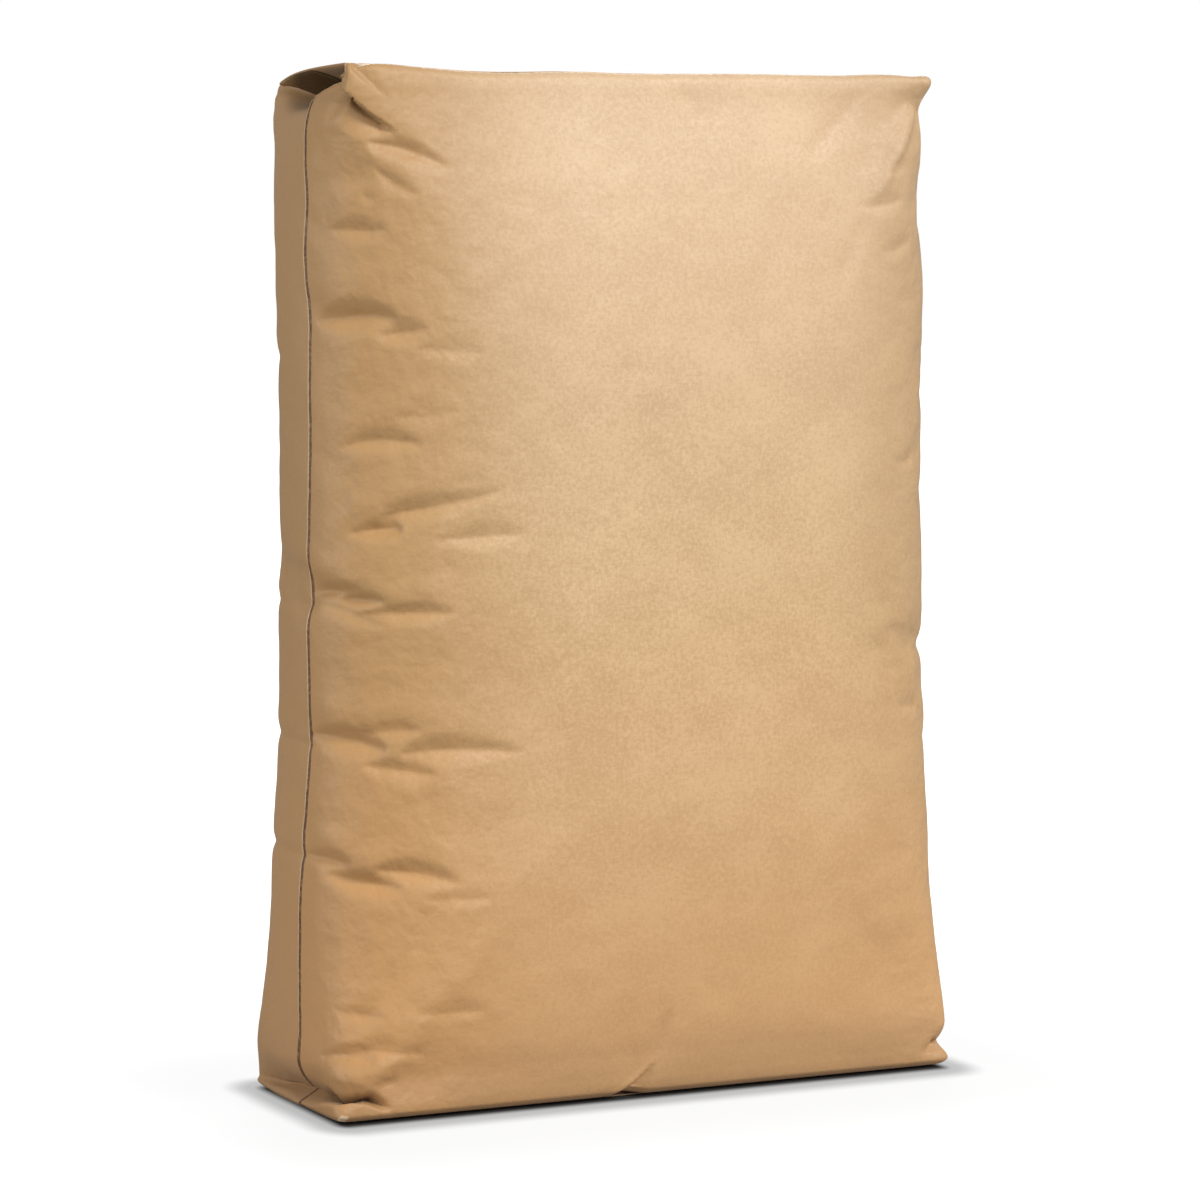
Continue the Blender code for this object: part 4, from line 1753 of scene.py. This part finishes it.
@dataclass(frozen=True)
class KraftFinish:
    """Unbleached kraft paper.

    Attributes:
        name: The material's name.
        light: The paper's lighter tone.
        dark: Its darker tone.
        roughness: How matt it is.
        seam: Whether it shows the pasted seam.
        paints_light_shade_and_foot: Whether it gets the sack's painted light and shade, its darker foot and
            its rubbed tip.
        bump: The height of its grain in metres.
        facets: The height of its crumpled facets in metres.
        shine: Its specular level.
        sheen: How much of it the raised fibres scatter.
        paints_pocket_shade: Whether it gets painted shade towards the valve pocket's deep end.
        worn: The tone of rubbed ridges, and of the cut edge's pale fibre with its painted highlight.
        dirt_and_shade: The tone of dirt flecks and the darker foot, and of the painted shade in fold
            valleys.
        shaded: The tone of the painted shade deep in folds, under the overhang and in the valve pocket.
        paste_and_shadow: The tone of the paste and painted shadow in the seam's gap.
        frayed: The tone of the rubbed tip at the foot.
        deep: The tone of the painted shade at the pocket's deep end.
        behind: The tone of the paper just behind the seam.
    """

    name: str
    light: Tone = (0.665, 0.452, 0.238)
    dark: Tone = (0.550, 0.347, 0.167)
    roughness: float = 0.56
    seam: bool = False
    paints_light_shade_and_foot: bool = False
    bump: float = 0.00030
    facets: float = 0.0022
    shine: float = 0.55
    sheen: float = 0.06
    paints_pocket_shade: bool = False
    worn: Tone = (0.78, 0.60, 0.40)
    dirt_and_shade: Tone = (0.30, 0.17, 0.075)
    shaded: Tone = (0.050, 0.024, 0.009)
    paste_and_shadow: Tone = (0.115, 0.044, 0.010)
    frayed: Tone = (0.72, 0.54, 0.34)
    deep: Tone = (0.040, 0.017, 0.005)
    behind: Tone = (0.36, 0.24, 0.14)

    def make(self, groups: "PaperGroups") -> Material:
        """Build the material.

        Args:
            groups: The shared node groups.

        Returns:
            The material.
        """
        material = bpy.data.materials.new(self.name)
        material.use_nodes = True
        material.node_tree.nodes.clear()
        wiring = Wiring(material.node_tree)
        grain = wiring.add("ShaderNodeGroup", {"node_tree": groups.grain}).outputs
        wear_and_shade = wiring.add("ShaderNodeGroup", {"node_tree": groups.wear_and_shade}).outputs
        mixed = 0.0
        for label, share in GRAIN_SHARES:
            mixed = wiring.math("ADD", mixed, wiring.times(grain[label], share))
        colour = wiring.tint((*self.dark, 1.0), wiring.ramp(mixed, *TONE_SPAN), self.light)
        # Dirt flecks, rubbed ridges, and painted shade in the valleys of folds
        marks = (
            (grain["Fleck"], 0.35, self.dirt_and_shade),
            (wear_and_shade["Ridge"], 0.22, self.worn),
            (wear_and_shade["Valley"], 0.30, self.dirt_and_shade),
        )
        for mark, share, tone in marks:
            colour = wiring.tint(colour, wiring.times(mark, share), tone)
        if self.paints_light_shade_and_foot:
            colour = self.paint_light_shade_and_foot(wiring, colour, grain)
        if self.seam:
            colour = self.draw_seam(wiring, colour)
        if self.paints_pocket_shade:
            colour = self.paint_pocket_shade(wiring, colour)
        crumple = wiring.add("ShaderNodeGroup", {"node_tree": groups.crumple}).outputs["Height"]
        facets = wiring.add("ShaderNodeBump", Strength=1.0, Distance=self.facets, Height=crumple)
        normal = facets.outputs[0]
        fine = {"Strength": 0.9, "Distance": self.bump, "Height": grain["Height"], "Normal": normal}
        shader = wiring.add(
            "ShaderNodeBsdfPrincipled",
            Base_Color=colour,
            Roughness=wiring.ramp(grain["Mottle"], 0.30, 0.70, self.roughness + 0.05, self.roughness - 0.05),
            Normal=wiring.add("ShaderNodeBump", **fine).outputs[0],
            Specular_IOR_Level=self.shine,
            Sheen_Weight=self.sheen,
            Sheen_Roughness=0.6,
        )
        wiring.add("ShaderNodeOutputMaterial", Surface=shader.outputs[0])
        return material

    def paint_pocket_shade(self, wiring: Wiring, colour: Socket) -> Socket:
        """Paint shade on the sleeve, darker from the rear corner towards the pocket's deep end behind the
        lip.

        Args:
            wiring: The material's nodes.
            colour: The paper's colour so far.

        Returns:
            The colour with the pocket's painted shade.
        """
        across, back = wiring.parts()[:2]
        inward = wiring.math("SUBTRACT", across, wiring.times(back, POCKET_LEAN))
        return wiring.tint(colour, wiring.ramp(inward, *POCKET_SPAN, 0.0, POCKET_DARKNESS), self.deep)

    def draw_seam(self, wiring: Wiring, colour: Socket) -> Socket:
        """Draw the pasted seam: the pale cut edge of the upper ply with a painted highlight, and the paste
        and painted shadow in the gap beside it.

        Args:
            wiring: The material's nodes.
            colour: The paper's colour so far.

        Returns:
            The colour with the seam.
        """
        away = wiring.stored("seam")
        height = wiring.parts()[2]
        broken = wiring.ramp(wiring.noise(wiring.place(), 420.0, 2.0, 0.6), 0.30, 0.55, 0.60, 1.0)
        pasted = wiring.times(wiring.ramp(height, *PASTE_END), broken)
        low = wiring.ramp(height, *SEAM_MERGES)
        rear = wiring.times(wiring.ramp(away, 0.0002, -0.0002), 0.16)
        colour = wiring.tint(colour, rear, self.behind)
        # The pale cut edge, partly a painted highlight
        edge = wiring.times(wiring.band(away, *EDGE_BAND), 0.45)
        colour = wiring.tint(colour, wiring.times(edge, wiring.math("SUBTRACT", 1.0, low)), self.worn)
        # The paste in the gap, with painted shadow under the lifted edge
        low_gap = wiring.times(wiring.band(away, *LOW_GAP_BAND), low)
        gap = wiring.math("MAXIMUM", wiring.band(away, *GAP_BAND), low_gap)
        return wiring.tint(colour, wiring.times(gap, pasted), self.paste_and_shadow)

    def paint_light_shade_and_foot(self, wiring: Wiring, colour: Socket, grain: object) -> Socket:
        """Lay the sack's broad painted light and shade, paint shade deep in its folds, darken its foot in
        patches, and rub the front left tip pale.

        Args:
            wiring: The material's nodes.
            colour: The paper's colour so far.
            grain: The outputs of the grain group.

        Returns:
            The colour with the painted light and shade, the darker foot and the rubbed tip.
        """
        parts = wiring.parts()
        # Painted sheen on the upper part, painted shade on both side margins and on the lower part
        for tint in SACK_PAINTED_LIGHT:
            share = wiring.ramp(parts[tint.axis], tint.start, tint.full, 0.0, tint.share)
            if tint.at_foot < 1.0:
                share = wiring.times(share, wiring.ramp(parts[2], 0.02, 0.30, tint.at_foot, 1.0))
            colour = wiring.tint(colour, share, tint.tone)
        # Painted shade deep in folds, in the foot's tuck, under the overhang and in the pocket
        colour = wiring.tint(colour, wiring.times(wiring.stored("painted_shade"), 0.96), self.shaded)
        # Darker in patches towards the foot
        patchy = wiring.ramp(grain["Cloud"], 0.2, 0.7, 0.25, 0.5)
        colour = wiring.tint(colour, wiring.times(wiring.ramp(parts[2], 0.055, 0.0), patchy), self.dirt_and_shade)
        tip = (-FOOT_WIDTH / 2, -FOOT_DEPTH / 2, 0.0)
        away = wiring.add("ShaderNodeVectorMath", {"operation": "DISTANCE"}, i0=wiring.place(), i1=tip)
        ragged = wiring.math("ADD", away.outputs["Value"], wiring.times(grain["Mottle"], 0.006))
        return wiring.tint(colour, wiring.ramp(ragged, 0.0103, 0.0085), self.frayed)


@dataclass(frozen=True)
class PaperGroups:
    """The node groups that every paper finish shares."""

    grain: bpy.types.NodeTree
    wear_and_shade: bpy.types.NodeTree
    crumple: bpy.types.NodeTree


@dataclass
class TopPatch:
    """The sheet pasted over the folded top.

    Attributes:
        telegraph: How high the plies under it show through.
        ply_edge: Where those plies begin, from front to back.
        ply_end: Where they end, across.
        pucker: How high it puckers.
        puckers: How many puckers lie in a metre.
    """

    columns: int = 90
    rows: int = 26
    telegraph: float = 0.00035
    ply_edge: Span = (-0.006, -0.003)
    ply_end: Span = (0.172, 0.160)
    pucker: float = 0.00012
    puckers: float = 60.0

    def build(self, finish: Material) -> Item:
        """Make the patch, following the settled top under it.

        Args:
            finish: Its material.

        Returns:
            The finished piece.
        """
        across = np.linspace(PATCH_MARGIN - TOP_WIDTH / 2, TOP_WIDTH / 2 - PATCH_MARGIN, self.columns)
        back = np.linspace(PATCH_MARGIN - TOP_DEPTH / 2, TOP_DEPTH / 2 - PATCH_MARGIN, self.rows)
        x, y = np.meshgrid(across, back)
        under = PAPER_TOP - top_sag(x, y) + PASTE_GAP
        overlap = self.telegraph * smooth_step(y, *self.ply_edge) * smooth_step(np.abs(x), *self.ply_end)
        waves = [noise.noise(Vector((a, b, 0.0)) * self.puckers) for a, b in zip(x.ravel(), y.ravel())]
        under = under + overlap + self.pucker * (np.array(waves).reshape(x.shape) + 0.6)
        over = under + PATCH_THICKNESS
        points = np.vstack([np.column_stack([x.ravel(), y.ravel(), z.ravel()]) for z in (over, under)])
        item = make_mesh("top_patch_sheet", points, sheet_faces(self.rows, self.columns), finish)
        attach(item, "root")
        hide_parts("top_patch")
        LOG.info("top_patch_sheet: %d faces", len(item.data.polygons))
        return item


def sheet_faces(rows: int, columns: int) -> list[list[int]]:
    """The faces of a thin closed sheet, from its grid of outer points and then its inner points.

    Args:
        rows: Rows of points.
        columns: Points in a row.

    Returns:
        The faces, with the outer grid facing out.
    """
    faces = []
    inner = rows * columns
    for row in range(rows - 1):
        for column in range(columns - 1):
            corner = row * columns + column
            quad = [corner, corner + 1, corner + columns + 1, corner + columns]
            faces.append(quad)
            faces.append([inner + number for number in quad[::-1]])
    rim = list(range(columns)) + [row * columns + columns - 1 for row in range(1, rows)]
    rim += [(rows - 1) * columns + column for column in range(columns - 2, -1, -1)]
    rim += [row * columns for row in range(rows - 2, 0, -1)]
    for index, corner in enumerate(rim):
        after = rim[(index + 1) % len(rim)]
        faces.append([corner, inner + corner, inner + after, after])
    return faces


@dataclass
class ValveSleeve:
    """The flattened paper sleeve that lies under the pocket's ceiling.

    Attributes:
        gap: How far it hangs under the ceiling.
        lean: The share of that gap that lies sideways.
        rear: How far from the rear edge it begins.
        front_outer: How far from the rear edge it ends at the pocket's mouth.
        front_inner: How far it ends deep in the pocket.
        flare: How its end runs from one to the other.
        rises: The shares of the ceiling's height between which it lies.
        sag: How far its middle sags.
    """

    thickness: float = 0.0008
    gap: float = 0.0005
    lean: float = 0.2
    rear: float = 0.008
    front_outer: float = 0.052
    front_inner: float = 0.080
    flare: float = 0.6
    rises: Span = (0.04, 0.93)
    sag: float = 0.0012
    columns: int = 34
    rows: int = 12

    def build(self, finish: Material) -> Item:
        """Make the sleeve from the pocket's own ceiling.

        Args:
            finish: Its material.

        Returns:
            The finished piece.
        """
        pocket = ValvePocket()
        top_x = -(TOP_WIDTH / 2 - 0.001)
        outer, inner = [], []
        for rise in np.linspace(*self.rises, self.rows):
            front = self.front_outer + (self.front_inner - self.front_outer) * rise**self.flare
            for share in np.linspace(0.0, 1.0, self.columns):
                from_rear = self.rear + (front - self.rear) * share
                valley = float(pocket.valley_height(np.array(from_rear)))
                level = PAPER_TOP - rise * (PAPER_TOP - valley)
                depth = min(pocket.widening * from_rear, pocket.deepest) * rise
                x, y = top_x + depth, TOP_DEPTH / 2 - from_rear
                hang = self.gap + self.sag * math.sin(math.pi * share) * rise
                z = level - float(top_sag(np.array(x), np.array(y))) - hang
                inner.append((x - self.lean * self.gap, y, z))
                outer.append((x - self.lean * self.gap, y, z - self.thickness))
        points = np.array(outer + inner)
        item = make_mesh("valve_sleeve_tongue", points, sheet_faces(self.rows, self.columns), finish)
        self.face_out(item)
        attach(item, "root")
        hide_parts("valve_sleeve")
        LOG.info("valve_sleeve_tongue: %d faces", len(item.data.polygons))
        return item

    @staticmethod
    def face_out(item: Item) -> None:
        """Turn all faces of a closed piece outwards.

        Args:
            item: The piece.
        """
        work = bmesh.new()
        work.from_mesh(item.data)
        bmesh.ops.recalc_face_normals(work, faces=work.faces)
        work.to_mesh(item.data)
        work.free()


class GeometryTree:
    """A Geometry Nodes tree with named number inputs, run once on an object."""

    def __init__(self, name: str, inputs: dict[str, float]) -> None:
        """Start the tree.

        Args:
            name: Its name.
            inputs: Its number inputs and their values.
        """
        self.tree = bpy.data.node_groups.new(name, "GeometryNodeTree")
        self.tree.interface.new_socket(name="Geometry", in_out="INPUT", socket_type="NodeSocketGeometry")
        self.tree.interface.new_socket(name="Geometry", in_out="OUTPUT", socket_type="NodeSocketGeometry")
        self.values = {}
        for label, value in inputs.items():
            kind = "NodeSocketInt" if isinstance(value, int) else "NodeSocketFloat"
            socket = self.tree.interface.new_socket(name=label, in_out="INPUT", socket_type=kind)
            self.values[socket.identifier] = value
        self.wiring = Wiring(self.tree)
        self.entry = self.wiring.add("NodeGroupInput")

    def run(self, geometry: Socket, finish: Material, source: Item, name: str) -> Item:
        """End the tree, run it on an object, and keep the result as a plain mesh.

        Args:
            geometry: What the tree has made.
            finish: Its material.
            source: The object, which is removed afterwards.
            name: The new piece's name.

        Returns:
            The new piece.
        """
        real = self.wiring.add("GeometryNodeRealizeInstances", Geometry=geometry)
        dressed = self.wiring.add("GeometryNodeSetMaterial", Geometry=real.outputs[0], Material=finish)
        leave = self.wiring.add("NodeGroupOutput")
        self.tree.links.new(dressed.outputs[0], leave.inputs[0])
        modifier = source.modifiers.new("nodes", "NODES")
        modifier.node_group = self.tree
        for identifier, value in self.values.items():
            modifier[identifier] = value
        mesh = evaluated_mesh(source)
        mesh.name = name
        source.modifiers.remove(modifier)
        bpy.data.objects.remove(source, do_unlink=True)
        return place_object(name, mesh)


@dataclass
class SeamEdge:
    """The cut edge of the paper's outer ply, which runs up the seam and round the valve's lip.

    Attributes:
        radius: Half its thickness.
        sides: The sides of its profile.
        roughness: How far its thickness varies.
        lift: How far it stands out of the skin, as a share of its radius.
        lowest: The height at which it begins.
    """

    radius: float = 0.00022
    sides: int = 6
    roughness: float = 0.00010
    lift: float = 0.55
    lowest: float = 0.045

    def build(self, skin: SackSkin, finish: Material) -> Item:
        """Sweep the cut edge along the skin's seam.

        Args:
            skin: The skin that it lies on.
            finish: Its material.

        Returns:
            The finished piece.
        """
        column = skin.paper.plan.seam_column()
        line = skin.points[:, column] + skin.paper.normals[:, column] * self.radius * self.lift
        line = line[skin.paper.plan.heights > self.lowest]
        mesh = bpy.data.meshes.new("seam_line")
        mesh.from_pydata(line.tolist(), [(number, number + 1) for number in range(len(line) - 1)], [])
        inputs = {"Radius": self.radius, "Sides": self.sides, "Wobble": self.roughness, "Seed": 3}
        tree = GeometryTree("cut_edge", inputs)
        wiring, entry = tree.wiring, tree.entry.outputs
        curve = wiring.add("GeometryNodeMeshToCurve", Mesh=entry["Geometry"])
        chance = wiring.add(
            "FunctionNodeRandomValue", {"data_type": "FLOAT"},
            i2=wiring.times(entry["Wobble"], -1.0), i3=entry["Wobble"], Seed=entry["Seed"],
        )
        width = wiring.math("ADD", entry["Radius"], chance.outputs[1])
        sized = wiring.add("GeometryNodeSetCurveRadius", Curve=curve.outputs[0], Radius=width)
        ring = wiring.add("GeometryNodeCurvePrimitiveCircle", Resolution=entry["Sides"], Radius=1.0)
        swept = wiring.add(
            "GeometryNodeCurveToMesh",
            Curve=sized.outputs[0], Profile_Curve=ring.outputs[0], Fill_Caps=True,
        )
        if "Scale" in swept.inputs:
            wiring.feed(swept.inputs["Scale"], width)
        item = tree.run(swept.outputs[0], finish, place_object("seam_line", mesh), "seam_cut_edge")
        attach(item, "root")
        LOG.info("seam_cut_edge: %d faces", len(item.data.polygons))
        return item


# Each lamp's name, place, width in metres and power in watts
LAMPS = (
    ("key_lamp", (2.2, -4.6, 4.2), 2.0, 293.0),
    ("front_soft", (0.45, -2.80, 1.00), 1.2, 20.0),
    ("left_fill", (-3.0, -0.3, 1.0), 1.8, 37.0),
    ("rear_fill", (1.2, 2.6, 2.3), 1.6, 55.0),
)

# The floor's painted contact shadow, made by a glow that rises away from the sack: how far from the sack
# each part of that glow begins and ends, and the glow that it adds
FLOOR_PAINTED_SHADOW = ((0.0025, 0.013, 0.49), (0.014, 0.036, 0.42), (0.05, 0.35, 0.36))


@dataclass
class Studio:
    """A pale floor under soft studio light.

    Attributes:
        floor_size: The floor's width.
        block: Half the width and half the depth from which its painted contact shadow is measured.
        narrowing: How much faster that painted shadow fades out across, and from front to back.
        aim: The height at which the lamps point.
    """

    floor_size: float = 60.0
    block: Span = (0.20, 0.06)
    narrowing: Span = (1.12, 0.85)
    aim: float = 0.32

    def build(self) -> None:
        """Make the floor, the lamps and the surroundings."""
        self.make_floor()
        for name, place, size, power in LAMPS:
            self.hang_lamp(name, place, size, power)
        self.surroundings()
        bpy.context.scene.view_settings.view_transform = "Standard"
        bpy.context.scene.view_settings.look = "None"

    def make_floor(self) -> None:
        """Lay the floor, which glows white to the camera with a painted contact shadow round the sack."""
        half = self.floor_size / 2
        corners = [(-half, -half, 0), (half, -half, 0), (half, half, 0), (-half, half, 0)]
        mesh = bpy.data.meshes.new("studio_floor")
        mesh.from_pydata(corners, [], [(0, 1, 2, 3)])
        material = bpy.data.materials.new("floor_painted_shadow")
        material.use_nodes = True
        wiring = Wiring(material.node_tree)
        seen = wiring.add("ShaderNodeLightPath").outputs["Is Camera Ray"]
        beside = wiring.add("ShaderNodeVectorMath", {"operation": "ABSOLUTE"}, i0=wiring.place()).outputs[0]
        steps = (
            ("SUBTRACT", (*self.block, 0.0)),
            ("MAXIMUM", (0.0, 0.0, 0.0)),
            ("MULTIPLY", (*self.narrowing, 1.0)),
        )
        for operation, amount in steps:
            node = wiring.add("ShaderNodeVectorMath", {"operation": operation}, i0=beside, i1=amount)
            beside = node.outputs[0]
        away = wiring.add("ShaderNodeVectorMath", {"operation": "LENGTH"}, i0=beside).outputs["Value"]
        # The glow, seen only by the camera and rising with distance from the sack, paints the contact shadow
        glow = 0.0
        for start, end, light in FLOOR_PAINTED_SHADOW:
            glow = wiring.math("ADD", glow, wiring.ramp(away, start, end, 0.0, light))
        shader = material.node_tree.nodes["Principled BSDF"]
        looks = {
            "Base Color": wiring.tint((0.30, 0.29, 0.28, 1.0), seen, (0.045, 0.045, 0.045)),
            "Roughness": 0.85,
            "Specular IOR Level": 0.1,
            "Emission Color": (1.0, 1.0, 1.0, 1.0),
            "Emission Strength": wiring.times(glow, seen),
        }
        for name, value in looks.items():
            wiring.feed(shader.inputs[name], value)
        mesh.materials.append(material)
        place_object("studio_floor", mesh)

    def hang_lamp(self, name: str, place: tuple[float, float, float], size: float, power: float) -> None:
        """Hang a round soft lamp that points at the sack.

        Args:
            name: Its name.
            place: Where it hangs.
            size: Its width in metres.
            power: Its power in watts.
        """
        data = bpy.data.lights.new(name, "AREA")
        data.shape = "DISK"
        data.size = size
        data.energy = power
        lamp = place_object(name, data)
        lamp.location = place
        aim = Vector((0.0, 0.0, self.aim)) - Vector(place)
        lamp.rotation_euler = aim.to_track_quat("-Z", "Y").to_euler()

    @staticmethod
    def surroundings() -> None:
        """Make the surroundings white to the camera, and softer as a source of light."""
        world = bpy.data.worlds.new("studio_white")
        world.use_nodes = True
        world.node_tree.nodes.clear()
        wiring = Wiring(world.node_tree)
        path = wiring.add("ShaderNodeLightPath")
        strength = wiring.ramp(path.outputs["Is Camera Ray"], 0.0, 1.0, 0.32, 1.0)
        light = wiring.add("ShaderNodeBackground", Color=(1.0, 1.0, 1.0, 1.0), Strength=strength)
        wiring.add("ShaderNodeOutputWorld", Surface=light.outputs[0])
        bpy.context.scene.world = world


def main() -> None:
    """Build the sack's pieces and the studio round them."""
    logging.basicConfig(level=logging.INFO, format="%(message)s", stream=sys.stdout)
    VIEW.make_camera()
    groups = PaperGroups(paper_grain_group(), crease_wear_shade_group(), crumple_group())
    kraft = KraftFinish("kraft_paper_skin", seam=True, paints_light_shade_and_foot=True).make(groups)
    patch = KraftFinish("patch_paper_sheet", light=(0.66, 0.46, 0.27), dark=(0.57, 0.38, 0.21)).make(groups)
    inner_ply = {"light": (0.56, 0.36, 0.175), "dark": (0.42, 0.26, 0.115), "shine": 0.12, "sheen": 0.0}
    sleeve = KraftFinish("sleeve_paper_sheet", paints_pocket_shade=True, **inner_ply).make(groups)
    cut = KraftFinish("cut_edge_paper", light=(0.64, 0.47, 0.29), dark=(0.52, 0.36, 0.20)).make(groups)
    skin = SackSkin()
    skin.build(kraft)
    TopPatch().build(patch)
    ValveSleeve().build(sleeve)
    SeamEdge().build(skin, cut)
    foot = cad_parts["bottom_patch"]
    foot.data.materials.clear()
    foot.data.materials.append(patch)
    Studio().build()


if __name__ == "__main__":
    main()
